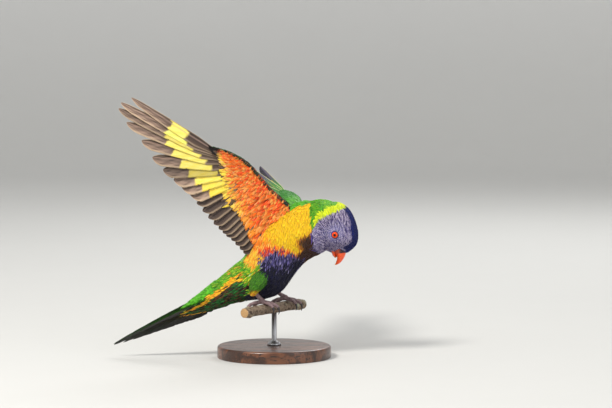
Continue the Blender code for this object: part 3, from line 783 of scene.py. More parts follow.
def barb_grain_group():
    """Fine barbs that slant from a feather's shaft, and the shaft, from where a point lies on its vane."""
    graph, given, result = node_group(
        "barb_grain",
        [("Spacing", "Float", 0.4), ("Slant", "Float", 1.0), ("Shaft Width", "Float", 0.25)],
        [("Barbs", "Float"), ("Shaft", "Float")],
    )
    across, along, seed = graph.node("ShaderNodeSeparateXYZ", {0: graph.attribute("vane", "Vector")}).outputs
    aside = graph.math("ABSOLUTE", across)
    run = graph.math("SUBTRACT", along, graph.math("MULTIPLY", aside, given["Slant"]))
    shifted = graph.node("ShaderNodeCombineXYZ", {0: across, 1: run, 2: seed}).outputs[0]
    wobble = graph.math("MULTIPLY", graph.noise(shifted, 0.9, 2.0), 1.4)
    turns = graph.math("DIVIDE", graph.math("ADD", run, wobble), given["Spacing"])
    wave = graph.math("SINE", graph.math("MULTIPLY", turns, 2 * math.pi))
    graph.put(result["Barbs"], graph.math("MULTIPLY_ADD", wave, 0.5, 0.5))
    from_shaft = graph.math("DIVIDE", aside, given["Shaft Width"])
    graph.put(result["Shaft"], graph.math("SUBTRACT", 1.0, from_shaft, clamp=True))
    return graph.tree


def mottle_group():
    """Soft unevenness of a colour over the object, at two sizes."""
    graph, given, result = node_group(
        "soft_mottle",
        [("Colour", "Color", (0.5, 0.5, 0.5, 1.0)), ("Size", "Float", 200.0), ("Strength", "Float", 0.2)],
        [("Colour", "Color"), ("Unevenness", "Float")],
    )
    where = graph.where()
    large = graph.noise(where, given["Size"], 4.0)
    small = graph.noise(where, graph.math("MULTIPLY", given["Size"], 7.0), 3.0)
    both = graph.math("ADD", large, graph.math("MULTIPLY", small, 0.6))
    factor = graph.math("MULTIPLY_ADD", graph.math("SUBTRACT", both, 0.8), given["Strength"], 1.0)
    grey = graph.node("ShaderNodeCombineColor", {0: factor, 1: factor, 2: factor}).outputs[0]
    graph.put(result["Colour"], graph.mix(1.0, given["Colour"], grey, "MULTIPLY"))
    graph.put(result["Unevenness"], both)
    return graph.tree


BARB_GRAIN = barb_grain_group()
SOFT_MOTTLE = mottle_group()


# Each feather finish: spacing, slant and shaft width of its barb grain, relief, roughness, sheen, tint of the
# shaft, and how much darker it is between barbs
FEATHER_FINISHES = {
    "hood_plumage": (0.9, 3.5, 0.08, 0.25, 0.55, 0.2, (1.1, 1.1, 1.05), 0.16),
    "nape_plumage": (1.0, 3.0, 0.10, 0.3, 0.52, 0.25, (1.05, 1.05, 1.0), 0.16),
    "breast_plumage": (1.1, 3.5, 0.08, 0.3, 0.55, 0.3, (1.05, 1.0, 0.9), 0.16),
    "belly_plumage": (1.1, 3.5, 0.08, 0.3, 0.55, 0.25, (1.0, 1.0, 1.0), 0.2),
    "flank_plumage": (1.0, 3.0, 0.10, 0.3, 0.5, 0.25, (1.05, 1.05, 0.9), 0.2),
    "back_plumage": (0.6, 1.4, 0.16, 0.35, 0.45, 0.25, (0.8, 0.9, 0.8), 0.18),
    "undertail_plumage": (0.9, 2.5, 0.14, 0.3, 0.52, 0.2, (1.0, 1.0, 1.0), 0.2),
    "thigh_plumage": (0.9, 3.0, 0.08, 0.3, 0.55, 0.25, (1.05, 1.05, 0.9), 0.18),
    "wing_edge_plumage": (0.8, 2.0, 0.12, 0.3, 0.5, 0.2, (0.9, 0.95, 0.9), 0.18),
    "flight_feather": (0.42, 1.0, 0.30, 0.5, 0.42, 0.1, (1.0, 1.0, 1.0), 0.16),
    "underwing_covert": (0.9, 2.6, 0.10, 0.35, 0.55, 0.3, (1.05, 1.0, 0.95), 0.16),
    "upperwing_covert": (0.6, 1.4, 0.14, 0.35, 0.46, 0.25, (0.8, 0.9, 0.8), 0.18),
    "tail_feather": (0.55, 0.9, 0.4, 0.8, 0.42, 0.15, (1.0, 1.0, 1.0), 0.25),
}


def feather_finish(name):
    """Feathers in their own plumage colours, with barbs, a shaft and soft unevenness."""
    spacing, slant, shaft_width, relief, rough, sheen, shaft_tint, shade = FEATHER_FINISHES[name]
    finish = Finish(name)
    colour = finish.attribute("plumage", "Color")
    inputs = {"Spacing": spacing, "Slant": slant, "Shaft Width": shaft_width}
    barbs, shaft = finish.node("ShaderNodeGroup", inputs, node_tree=BARB_GRAIN).outputs
    between = finish.mix(1.0, colour, (*[1.0 - shade] * 3, 1.0), "MULTIPLY")
    barbed = finish.mix(barbs, between, colour)
    shafted = finish.mix(shaft, barbed, finish.mix(1.0, colour, (*shaft_tint, 1.0), "MULTIPLY"))
    height = finish.math("ADD", barbs, finish.math("MULTIPLY", shaft, 1.5))
    return finish.feed(
        base_color=finish.mottled(shafted, 160.0, 0.22)["Colour"],
        roughness=finish.spread(barbs, 0.0, 1.0, rough + 0.12, rough - 0.05),
        normal=finish.relief(height, relief),
        sheen_weight=0.3 * sheen,
        sheen_roughness=0.45,
        specular_ior_level=0.28,
    )


# The skin: the flesh nodes, the arms inside the wings and the root of the tail, drawn in by the coat's depth


COAT_DEPTH = {"torso": 1.7, "neck": 1.3, "head": 0.8, "thigh": 1.2, "arm": 0.35, "stump": 0.5, "bare": 1.7}
SKIN_KINDS = {"torso": "torso", "neck": "neck", "head": "head", "thigh_right": "thigh", "thigh_left": "thigh"}
SKIN_KINDS |= dict.fromkeys(("eye_right", "eye_left", "bill_upper", "bill_lower", "cere"), "bare")
SKIN_VOXEL = 1.0
SKIN_OVERLAP = 0.3
STUMP_END = -87.5
# How far from the middle of an eye the flesh under the coat is bare, and the coat parts
BARE_ROUND_EYE = 8.0
PARTED_ROUND_EYE = 14.0


def node_shape(name, grow):
    """(points, faces) of a CAD node, welded and grown outwards a little."""
    shell = bmesh.new()
    shell.from_mesh(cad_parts[name].data)
    bmesh.ops.remove_doubles(shell, verts=shell.verts, dist=0.01 * MM)
    shell.normal_update()
    points = [np.array(v.co) / MM + np.array(v.normal) * grow for v in shell.verts]
    faces = [tuple(v.index for v in face.verts) for face in shell.faces]
    shell.free()
    return points, faces


def arm_shape(wing):
    angles = round_angles(24)
    rings = []
    for outward, lead, trail, thickness in through(ARM_STATIONS, 40):
        forward = (lead + trail) / 2 + (lead - trail) / 2 * np.cos(angles)
        rings.append(wing.points(np.full(24, outward), forward, thickness / 2 * np.sin(angles)))
    return tube_of(rings)


def stump_shape():
    """The flesh at the root of the tail."""
    rings = []
    for x, z, depth, width in through(BODY_STATIONS[:6], 26):
        i = np.abs(SPINE.line[:, 0] - x).argmin()
        rings.append(ellipse_ring(np.array((x, 0.0, z)), SPINE.up[i], SPINE.right[i], depth, width, 32))
    return tube_of(rings)


def beside_eye(points):
    """How far points lie from the middle of the eye, as seen from the side."""
    forward, height, _ = on_head(points)
    return np.hypot(forward - EYE_FORWARD, height - EYE_HEIGHT)


class Skin:
    """The bird's skin as an object and as arrays, with the kind of flesh under each point."""

    def __init__(self):
        shapes = [(kind, node_shape(name, SKIN_OVERLAP)) for name, kind in SKIN_KINDS.items()]
        shapes += [("arm", arm_shape(wing)) for wing in WINGS.values()]
        shapes.append(("stump", stump_shape()))
        kinds = np.concatenate([[kind] * len(faces) for kind, (_, faces) in shapes])
        points, faces = join_shapes([shape for _, shape in shapes])
        source = BVHTree.FromPolygons([tuple(p) for p in points], faces)
        self.object = face_out(add_object("skin", points, faces, None))
        fuse(self.object, SKIN_VOXEL, 6)
        self.points, self.normals = read_points(self.object.data)
        self.kinds = np.array([kinds[source.find_nearest(p)[2]] for p in self.points.tolist()])
        self.draw_in()
        self.tree = BVHTree.FromPolygons([tuple(p) for p in self.points], self.triangles.tolist())
        self.face_kinds = self.kinds[self.triangles[:, 0]]
        self.face_normals = unit(self.normals[self.triangles].mean(axis=1))
        self.face_middles = self.points[self.triangles].mean(axis=1)

    def draw_in(self):
        """Draws the skin in by the coat's depth, less so towards the end of the stump."""
        depth = np.array([COAT_DEPTH[kind] for kind in self.kinds])
        depth = np.minimum(depth, 0.4 + 0.22 * np.abs(self.points[:, 0] - BODY_STATIONS[0][0]))
        from_eye = beside_eye(self.points)
        self.kinds[(self.kinds == "bare") & (from_eye > EYE_OPENING) & (from_eye < BARE_ROUND_EYE)] = "head"
        move_points(self.object.data, self.points - self.normals * depth[:, None])
        relax(self.object, 4)
        mesh = self.object.data
        mesh.shade_smooth()
        self.points, self.normals = read_points(mesh)
        mesh.calc_loop_triangles()
        corners = np.empty(len(mesh.loop_triangles) * 3, np.int64)
        mesh.loop_triangles.foreach_get("vertices", corners)
        self.triangles = corners.reshape(-1, 3)

    def land(self, points):
        """The nearest places on the skin, and which way it faces there."""
        found = [self.tree.find_nearest(p) for p in points.tolist()]
        return np.array([f[0] for f in found]), self.face_normals[[f[2] for f in found]]


# Markings


def plumage_at(points, kinds, chance):
    """(zone, colour at a feather's root, colour at its tip) for places on the skin. chance is a number from
    0 to 1 for each, which picks the odd feather of another colour."""
    station, turn = SPINE.place(points)
    turn = np.abs(turn)
    forward, height, side = on_head(points)
    uneven = ripple(points, 5.0)
    second = (chance * 7.919) % 1.0
    count = len(points)
    zone = np.full(count, "back", dtype="U12")
    root = np.tile(paint(DEEP_GREEN), (count, 1))
    tip = np.tile(paint(LEAF_GREEN), (count, 1))

    def dress(where, name, root_colour, tip_colour):
        zone[where] = name
        root[where] = root_colour[where] if np.ndim(root_colour) == 2 else paint(root_colour)
        tip[where] = tip_colour[where] if np.ndim(tip_colour) == 2 else paint(tip_colour)

    def mixed(first, last, share):
        return tint(paint(first), last, share)

    # Flank: green that turns to lime low down, with a few yellow, orange and whitish tips
    flank = (turn > 40) & (station < 4) & (station > -52)
    limes = mixed(LEAF_GREEN, LIME, ease(second + 0.5 * uneven, 0.35, 1.0))
    dress(flank, "flank", DEEP_GREEN, limes)
    spotted = flank & (chance < 0.16) & (station > -36)
    tip[spotted] = mixed((0.98, 0.86, 0.22), ORANGE, (second > 0.5).astype(float))[spotted]
    whitish = flank & (chance > 0.97) & (station > -26)
    tip[whitish] = paint((0.80, 0.88, 0.66))

    # Under the tail: a yellow streak along each side, and below it painted shade of dark brown, with some
    # green tips
    streak = np.interp(station, (-90, -83, -64, -47, -34, -28), (136, 133, 123, 106, 98, 95))
    shaded_beneath = (station < -24) & (turn > streak - 8)
    # Painted shade: dark brown and near black below the streak
    low = mixed((0.12, 0.12, 0.04), (0.36, 0.22, 0.06), ease(chance, 0.35, 0.9))
    low = np.where((second < 0.42)[:, None], paint((0.08, 0.42, 0.14)), low)
    dress(shaded_beneath, "vent", mixed((0.06, 0.07, 0.03), (0.12, 0.10, 0.04), chance), low)
    shaded_wedge = (station < -46) & (turn > streak - 8 - 14 * ease(station, -46, -70)) & (turn < streak)
    dress(shaded_wedge, "vent", (0.08, 0.06, 0.04), mixed((0.14, 0.09, 0.05), (0.10, 0.26, 0.08), chance))
    on_streak = (np.abs(turn - streak) < 10 + 1.5 * uneven) & (station < -26)
    dress(on_streak, "vent", (0.98, 0.62, 0.06), mixed((1.0, 0.80, 0.12), (1.0, 0.62, 0.10), second))

    # Belly, with violet tips where it meets the breast
    edge = np.interp(station, (-4, 2.4, 7.5, 9.8, 14, 15.7, 19, 22), (93, 97, 108, 125, 135, 153, 176, 184))
    edge = edge + 5 * uneven
    rear = np.interp(station, (-26, -19.2, -13.6, -9.3, -4.6, -3.5), (158, 144, 131, 115, 101, 96))
    rear = rear + 5 * uneven
    belly = (station > -26) & (station < 24) & (turn > np.where(station < -3.5, rear, edge))
    dress(belly, "belly", BLUE_BLACK, mixed(BLUE_BLACK, NAVY, second))
    reach = np.interp(station, (-8, -2, 2, 9, 16), (10, 30, 62, 44, 8))
    near_breast = belly & (turn - edge < reach * (0.55 + 0.6 * second)) & (station > -7)
    violets = mixed((0.20, 0.18, 0.44), (0.46, 0.42, 0.66), second)
    soft = near_breast & (chance < 0.75)
    tip[soft], root[soft] = violets[soft], paint((0.10, 0.09, 0.28))
    silvery = near_breast & (chance < 0.12)
    tip[silvery] = paint((0.66, 0.62, 0.80))

    # Breast: yellow at the side of the neck, orange and then red towards the flank and the belly, with
    # painted shade of dark brown in the fold under the chin
    shoulder = np.interp(station, (2, 7, 19, 22), (44, 38, 38, 44))
    breast = (turn <= edge) & (turn > shoulder + 3 * uneven) & (station >= -3.5) & (kinds != "head")
    breast |= (station > 22) & (turn > 44) & (kinds != "head")
    warmth = ease(edge - turn, 30, 2) + 0.9 * ease(station, 19, 3) + 0.16 * uneven + 0.4 * (chance - 0.5)
    warm = mixed(YELLOW, ORANGE, ease(warmth, 0.25, 0.8))
    warm = tint(warm, RED_ORANGE, ease(warmth, 0.7, 1.25))
    lit = (second < 0.25) & (warmth > 0.5)
    warm = tint(warm, (1.0, 0.86, 0.40), 0.75 * lit)
    dress(breast, "breast", tint(warm, (0.98, 0.46, 0.05), 0.4), warm)
    tufts = (station < 1.5) & (station > -9) & (turn > 47) & (turn < 92)
    pale = mixed((1.0, 0.86, 0.24), (1.0, 0.52, 0.12), ease(second, 0.45, 1.0))
    dress(tufts, "breast", (0.96, 0.42, 0.06), pale)
    barred = breast & (edge - turn < 20) & (chance < 0.30) & (station > 0)
    tip[barred] = mixed((0.20, 0.14, 0.46), (0.62, 0.10, 0.16), second)[barred]
    # Painted shade: the breast's fold under the chin turns through orange to dark brown, at roots and tips
    fold_shade = ease(turn, 112, 128) * ease(station, 20, 27)
    fold_shade = np.maximum(fold_shade, ease(turn, 138, 152) * ease(station, 13, 18))
    fold_shaded = tint(tip, (0.82, 0.34, 0.05), 0.8 * ease(fold_shade, 0.0, 0.4))
    fold_shaded = tint(fold_shaded, PAINTED_THROAT_SHADE, 0.95 * ease(fold_shade + 0.25 * (chance - 0.5), 0.2, 0.9))
    tip[breast] = fold_shaded[breast]
    root[breast] = tint(root, (0.14, 0.05, 0.03), fold_shade)[breast]

    # Hind neck, collar and hood
    hood_edge = -15.0 - 0.31 * height + 0.5 * uneven
    throat_edge = -20.0 + 0.355 * forward + 0.7 * uneven
    ahead = height > -16.8 + 0.8 * uneven
    neck = (kinds == "neck") | (kinds == "head")
    nape = ahead & (forward < hood_edge) & (neck | (turn < 112)) & (station > 20)
    dress(nape, "nape", DEEP_GREEN, mixed(LEAF_GREEN, LIME, 0.6 * ease(second, 0.5, 1.0)))
    collar = nape & (forward > hood_edge - 7.0) & (height > -13.5)
    dress(collar, "nape", (0.78, 0.84, 0.06), mixed(COLLAR_YELLOW, (0.82, 0.92, 0.14), second))
    hood = neck & (forward >= hood_edge) & (height > throat_edge) & ((kinds == "head") | ahead)
    blue = ease(beside_eye(points), 13, 5) * 0.7 + 0.25 * ripple(points, 9.0, 3.0)
    face = mixed(VIOLET, (0.40, 0.44, 0.86), blue.clip(0, 1))
    face = tint(face, (0.52, 0.42, 0.60), ease(forward, -2, -14) * 0.45)
    dress(hood, "hood", DEEP_VIOLET, face)
    # The crown: the head's own deeper blue, darkened further as painted shade on the top of the head, which
    # faces away from the light
    band = np.interp(forward, (-24, -12, 0, 10, 18, 23), (9.2, 8.4, 10.6, 10.4, 7.0, 3.0))
    crown_with_shade = ease(band + 0.8 * uneven - np.abs(side), -1.0, 1.0) * ease(height, 4.0, 8.0)
    root[hood] = tint(root, (0.02, 0.04, 0.26), crown_with_shade)[hood]
    tip[hood] = tint(tip, CROWN_BLUE_WITH_SHADE, crown_with_shade)[hood]
    # Painted shade: the throat under the bill is dark brown, turning red-orange towards the breast at its
    # sides
    throat = (kinds == "head") & (height <= throat_edge)
    orange_edge = ease(forward, 0, -9) * ease(np.abs(side), 8, 12)
    dress(throat, "hood", (0.10, 0.05, 0.05), mixed(PAINTED_THROAT_SHADE, RED_ORANGE, orange_edge))

    # Thighs: green, painted darker as shade, with yellow and orange tips at the ankle
    thigh = kinds == "thigh"
    low = ease(points[:, 2], 74, 69)
    ankle = mixed((1.0, 0.80, 0.1), RED_ORANGE, ease(chance, 0.4, 0.8))
    # Painted shade: the thigh's greens are darker than the flank's
    leg = mixed((0.22, 0.44, 0.04), (0.33, 0.60, 0.06), second)
    dress(thigh, "thigh", DEEP_GREEN, blend_colours(leg, ankle, low))
    inner = thigh & (turn > 150 + 6 * uneven) & (low < 0.5)
    tip[inner] = paint(NAVY)

    # Leading edge of each wing: green above, black-green below
    (_, forward, height), lead = on_wing(points)
    arm = kinds == "arm"
    greens = mixed(LEAF_GREEN, DEEP_GREEN, ease(second + 0.4 * uneven, 0.2, 0.9))
    greens = tint(greens, BLACK_GREEN, ease(height, 1.0, -0.5) * (0.55 + 0.4 * chance))
    dress(arm, "wing_edge", mixed(DEEP_GREEN, BLACK_GREEN, chance), greens)
    rusty = arm & (height < 0) & (lead - forward > 5.0 + second)
    dress(rusty, "wing_edge", RUST, mixed(RED_ORANGE, ORANGE, second))
    return zone, root, tip


def coat_flow(points, kinds):
    """The way the coat runs at places on the bird, before it is laid along the skin."""
    back = SPINE.flow(points)
    from_bill = unit(unit(points - head_point(*BILL_ROOT, 0.0)) - 0.35 * HEAD_AHEAD)
    share = np.where(kinds == "head", 1.0, ease(points[:, 0], 34, 54) * (kinds == "neck"))
    way = blend_colours(back, from_bill, share)
    for (top, ankle), near in ((RIGHT_THIGH, points[:, 1] < 0), (LEFT_THIGH, points[:, 1] >= 0)):
        leg = unit(np.subtract(ankle, top))
        on_leg = (kinds == "thigh") & near
        way[on_leg] = 0.75 * leg + 0.35 * back[on_leg]
    for wing in WINGS.values():
        on_arm = (kinds == "arm") & (points[:, 1] * wing.sign < 0)
        way[on_arm] = 0.5 * wing.outward - wing.forward
    return unit(way)


def laid_along(way, normals):
    """Ways brought into the surface that faces along the normals."""
    return way - normals * (way * normals).sum(axis=1, keepdims=True)


def lie_of_the_coat(points, normals, kinds):
    """The way the feathers point at places on the skin: along it, and parted round the eyes."""
    way = coat_flow(points, kinds)
    for sign in (1.0, -1.0):
        eye = head_point(EYE_FORWARD, EYE_HEIGHT, sign * (EYE_SIDE + 2.4))
        away = laid_along(points - eye, normals)
        gap = np.maximum(np.linalg.norm(away, axis=1, keepdims=True), EYE_OPENING)
        from_eye = np.linalg.norm(points - eye, axis=1, keepdims=True)
        near = (from_eye < PARTED_ROUND_EYE) * (EYE_OPENING / gap) ** 2
        outward = away / gap
        way = way - near * (way * outward).sum(axis=1, keepdims=True) * outward + near * 0.4 * outward
    return unit(laid_along(way, normals))


# No feather is rooted where the skin faces this far along the coat's run
FACES_THE_END = 0.72
# A feather runs straight on where the skin under it turns away by more than this
TURNS_AWAY = 0.45
# How near two roots may lie, as a share of the spacing
NEAREST_ROOTS = 0.82
# How far back from an arm's leading edge, and how far out along it, small feathers grow
ARM_COAT_DEPTH = 8.0
ARM_COAT_REACH = 92.0
BAKE_PATCH = 0.003


# Each zone's feathers: spacing, length, half width, lift at the tip and how soon it is reached, rows,
# columns, pointedness, stray in degrees, unevenness of tone
ZONES = {
    "hood": (0.80, 4.8, 0.50, 0.70, 0.6, 5, 3, 0.9, 7.0, 0.12),
    "nape": (1.0, 5.6, 0.95, 0.9, 0.55, 5, 3, 0.6, 6.0, 0.08),
    "breast": (0.95, 8.5, 0.95, 1.15, 0.45, 5, 3, 0.9, 6.0, 0.06),
    "belly": (1.05, 8.5, 0.9, 1.5, 0.7, 5, 3, 0.9, 15.0, 0.16),
    "flank": (1.1, 8.0, 1.0, 1.3, 0.55, 5, 3, 0.7, 9.0, 0.12),
    "back": (1.5, 8.5, 1.8, 1.3, 0.6, 6, 5, 0.3, 6.0, 0.08),
    "vent": (1.3, 12.0, 1.3, 1.1, 0.6, 6, 3, 0.6, 6.0, 0.12),
    "thigh": (0.9, 5.2, 0.75, 1.0, 0.6, 5, 3, 0.7, 9.0, 0.12),
    "wing_edge": (1.1, 4.2, 0.95, 0.55, 0.6, 5, 3, 0.4, 9.0, 0.12),
}
COAT_PIECES = {"hood": 4, "breast": 3, "belly": 2, "flank": 2, "back": 2}


ZONE_FINISHES = {"vent": "undertail_plumage"}
ZONE_SLOTS = {
    "hood": "head_feathers",
    "breast": "breast_feathers",
    "thigh": "thigh_feathers",
    "wing_edge": "wing_feathers",
}


def scatter(skin, wanted, spacing, rng):
    """Places over the wanted faces of the skin, about each face's spacing apart: (points, faces)."""
    corners = skin.points[skin.triangles[wanted]]
    areas = np.linalg.norm(np.cross(corners[:, 1] - corners[:, 0], corners[:, 2] - corners[:, 0]), axis=1) / 2
    weights = areas / spacing**2
    count = int(weights.sum() * 5)
    chosen = rng.choice(len(wanted), count, p=weights / weights.sum())
    a, b = rng.random((2, count))
    over = a + b > 1
    a[over], b[over] = 1 - a[over], 1 - b[over]
    p = corners[chosen]
    points = p[:, 0] + (p[:, 1] - p[:, 0]) * a[:, None] + (p[:, 2] - p[:, 0]) * b[:, None]
    tree = search_tree(points)
    kept = np.ones(count, bool)
    for i, (point, reach) in enumerate(zip(points.tolist(), spacing[chosen] * NEAREST_ROOTS)):
        if kept[i]:
            for _, j, _ in tree.find_range(point, reach):
                if j > i:
                    kept[j] = False
    return points[kept], wanted[chosen[kept]]


def vane_outline(shares, pointed):
    """Half widths along a small feather, from root to tip, as shares of its widest."""
    rise = np.minimum(1.0, 0.4 + 2.4 * shares)
    fall = np.sqrt(np.clip(1.0 - shares ** (3.4 - 2.2 * pointed), 0.0, 1.0))
    return np.maximum(rise * fall, 0.10)


def patch_map(places, side_shares, shares, shape):
    """A small patch of the bake map for each feather, at its root's place."""
    across = np.broadcast_to(side_shares[None, None, :], shape)
    along = np.broadcast_to(shares[None, :, None], shape)
    return places[:, None, None, :] + BAKE_PATCH * np.stack([across / 2, along - 0.5], axis=-1)


def pale_streaks(colours, tips, shares, side_shares, rng):
    """Pale violet streaks along the middle of the hood's blue feathers."""
    streak = (1.0 - np.abs(side_shares)) * ease(rng.random(len(tips)), 0.05, 0.75)[:, None]
    streak = streak[:, None, :] * ease(shares, 0.05, 0.5)[None, :, None]
    streak = streak * ease(tips[:, 0], 0.015, 0.10)[:, None, None] * (tips[:, 2] > 0.1)[:, None, None]
    return tint(colours * (0.55 + 0.45 * streak[..., None]), PALE_VIOLET, 0.9 * streak)


def grow_coat(skin, piece, zone, points, kinds, roots, tips, places, rng):
    """Adds a zone's feathers to a piece. They grow at places on the skin, and lie along the coat."""
    _, length, half_width, lift, rise, rows, columns, pointed, stray, unevenness = ZONES[zone]
    count = len(points)
    shape = (count, rows, columns)
    shares = np.linspace(0.0, 1.0, rows) ** 0.9
    smaller = face_scale(points) if zone == "hood" else np.ones(count)
    lengths = length * rng.uniform(0.78, 1.18, count) * smaller
    widths = half_width * rng.uniform(0.8, 1.2, count) * smaller**0.5
    lifts = lift * rng.uniform(0.7, 1.25, count) * smaller
    at, up = skin.land(points)
    way = lie_of_the_coat(at, up, kinds)
    c, s = turned(rng.normal(0.0, stray, count)[:, None])
    way = unit(way * c + np.cross(up, way) * s)
    outline = vane_outline(shares, pointed)
    side_shares = np.linspace(-1.0, 1.0, columns)
    frayed = rng.uniform(0.86, 1.08, shape)
    grid = np.empty((*shape, 3))
    last = 0.0
    for row, share in enumerate(shares):
        if row:
            ahead = at + way * ((share - last) * lengths)[:, None]
            landed, facing = skin.land(ahead)
            past_an_end = ((facing * up).sum(axis=1) < TURNS_AWAY)[:, None]
            at, up = np.where(past_an_end, ahead, landed), np.where(past_an_end, up, facing)
            way = unit(laid_along(unit(0.65 * way + 0.35 * lie_of_the_coat(at, up, kinds)), up))
        last = share
        across = np.cross(way, up)
        height = -0.2 + (lifts + 0.2) * share**rise
        reach = (widths * outline[row])[:, None] * side_shares * frayed[:, row]
        drop = 0.14 * np.abs(reach) ** 1.4 + 0.12 * half_width * (np.abs(side_shares) == 1.0)
        slip = -0.06 * length * share * side_shares**2 * frayed[:, row]
        grid[:, row] = (
            at[:, None, :]
            + across[:, None, :] * reach[..., None]
            + up[:, None, :] * (height[:, None] - drop)[..., None]
            + way[:, None, :] * slip[..., None]
        )
    tone = rng.normal(1.0, unevenness, (count, 1, 1, 1)).clip(0.6, 1.4)
    fade = ease(shares, 0.25, 0.8)[None, :, None]
    colours = blend_colours(roots[:, None, None, :], tips[:, None, None, :], fade)
    colours = np.broadcast_to(colours, (*shape, 3)) * tone
    if zone == "hood":
        colours = pale_streaks(colours, tips, shares, side_shares, rng)
    across = widths[:, None, None] * outline[None, :, None] * side_shares[None, None, :]
    along = np.broadcast_to((shares[None, :] * lengths[:, None])[..., None], shape)
    uv = patch_map(places, side_shares, shares, shape)
    piece.add(grid, colours.clip(0.0, 1.0), across, along, rng.random(count) * 100.0, uv)


def body_map(points):
    """Unrolls the trunk of the skin: round the body, and along it."""
    station, turn = SPINE.place(points)
    return np.stack([turn / 360.0 * 0.96 + 0.5, 0.03 + 0.94 * (station + 96.0) / 153.0], axis=1)


def head_map(points):
    """Unrolls the head of the skin, from the bill to the nape."""
    forward, height, side = on_head(points)
    reach = np.sqrt(forward**2 + height**2 + side**2)
    down = np.arccos(np.clip(forward / reach, -1.0, 1.0)) / math.pi
    return np.stack([np.arctan2(side, height) / (2 * math.pi) * 0.96 + 0.5, 0.03 + 0.94 * down], axis=1)


def thigh_map(points):
    """Unrolls each thigh of the skin, side by side."""
    right = points[:, 1] < 0
    middle = np.where(right[:, None], np.mean(RIGHT_THIGH, axis=0), np.mean(LEFT_THIGH, axis=0))
    away = points - middle
    round_it = np.arctan2(away[:, 1], away[:, 0]) / (2 * math.pi) * 0.46 + np.where(right, 0.25, 0.75)
    return np.stack([round_it, (points[:, 2] - 55.0) / 50.0], axis=1)


def edge_map(points):
    """Unrolls the front of each arm of the skin, one above the other."""
    (outward, _, height), _ = on_wing(points)
    level = 0.25 + 0.46 * (height / 16.0).clip(-0.5, 0.5) + np.where(points[:, 1] < 0, 0.0, 0.5)
    return np.stack([0.03 + 0.94 * (outward + 20.0) / 130.0, level], axis=1)


def face_scale(points):
    """How small the feathers are near the eyes and the bill, as a share of the rest of the head's."""
    to_eye = beside_eye(points) - EYE_OPENING
    to_bill = np.linalg.norm(points - head_point(*BILL_ROOT, 0.0), axis=1) - 6.0
    return np.interp(np.minimum(to_eye, to_bill), (0.5, 7.0), (0.42, 1.0))


def feathered_faces(skin):
    """Which faces of the skin grow small feathers: all but the bare ones, and of the arms front and root."""
    (outward, forward, _), lead = on_wing(skin.face_middles)
    on_arm = ((lead - forward < ARM_COAT_DEPTH) | (outward < ARM_COAT_DEPTH)) & (outward < ARM_COAT_REACH)
    feathered = np.isin(skin.face_kinds, ("torso", "neck", "head", "thigh", "stump"))
    return feathered | ((skin.face_kinds == "arm") & on_arm)


def places_to_grow(skin, zone, wanted, rng):
    """Where a zone's feathers are rooted: (points, faces), clear of limbs' ends and of the eyes' openings."""
    spacing = np.full(len(wanted), ZONES[zone][0])
    if zone == "hood":
        forward, _, _ = on_head(skin.face_middles[wanted])
        spacing = np.interp(forward, (-18.0, 20.0), (0.90, 0.70)) * face_scale(skin.face_middles[wanted])
    points, faces = scatter(skin, wanted, spacing, rng)
    kinds = skin.face_kinds[faces]
    at_an_end = (coat_flow(points, kinds) * skin.face_normals[faces]).sum(axis=1) > FACES_THE_END
    at_an_end |= points[:, 0] < STUMP_END
    kept = ~(at_an_end & np.isin(kinds, ("stump", "thigh", "arm")))
    if zone == "hood":
        for sign in (1.0, -1.0):
            eye = head_point(EYE_FORWARD, EYE_HEIGHT, sign * (EYE_SIDE + 2.2))
            kept &= np.linalg.norm(points - eye, axis=1) > EYE_OPENING + 0.1
    return points[kept], faces[kept]


def small_feathers(skin):
    """The coat of small feathers, in a few pieces for each zone of the body."""
    unrolled = {"hood": head_map, "thigh": thigh_map, "wing_edge": edge_map}
    zones, _, _ = plumage_at(skin.face_middles, skin.face_kinds, np.full(len(skin.face_middles), 0.5))
    feathered = feathered_faces(skin)
    for number, zone in enumerate(ZONES):
        finish = feather_finish(ZONE_FINISHES.get(zone, f"{zone}_plumage"))
        rng = np.random.default_rng(40 + number)
        points, faces = places_to_grow(skin, zone, np.flatnonzero(feathered & (zones == zone)), rng)
        kinds = skin.face_kinds[faces]
        _, roots, tips = plumage_at(points, kinds, rng.random(len(points)))
        places = unrolled.get(zone, body_map)(points)
        parts = COAT_PIECES.get(zone, 1)
        for part, chosen in enumerate(np.array_split(np.argsort(faces, kind="stable"), parts), 1):
            piece = Plumage(f"{zone}_feathers" + (f"_{part}" if parts > 1 else ""))
            grown = [each[chosen] for each in (points, kinds, roots, tips, places)]
            grow_coat(skin, piece, zone, *grown, rng)
            piece.build(finish, ZONE_SLOTS.get(zone, "body_feathers"))


def finish_skin(skin):
    """Gives the skin the markings of its coat, and stands it for the flesh nodes."""
    _, roots, tips = plumage_at(skin.points, skin.kinds, np.full(len(skin.points), 0.5))
    colours = 0.5 * roots + 0.3 * tips
    arms = skin.kinds == "arm"
    (_, forward, height), lead = on_wing(skin.points)
    under = arms & (height < 0)
    reds = plain(RUST, (len(arms),))
    colours[under] = tint(reds, (0.03, 0.07, 0.04), ease(lead - forward, 7, 4))[under]
    colours[arms & ~under] = paint((0.06, 0.20, 0.05))
    write_attribute(skin.object, "plumage", "FLOAT_COLOR", colours)
    finish = Finish("feathered_skin")
    tone, unevenness = finish.mottled(finish.attribute("plumage", "Color"), 300.0, 0.4)
    made = finish.feed(base_color=tone, roughness=0.8, normal=finish.relief(unevenness, 0.5, 0.3))
    skin.object.data.materials.append(made)
    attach(skin.object, "root")
    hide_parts("torso", "neck", "head", "thigh_right", "thigh_left")


# Wings


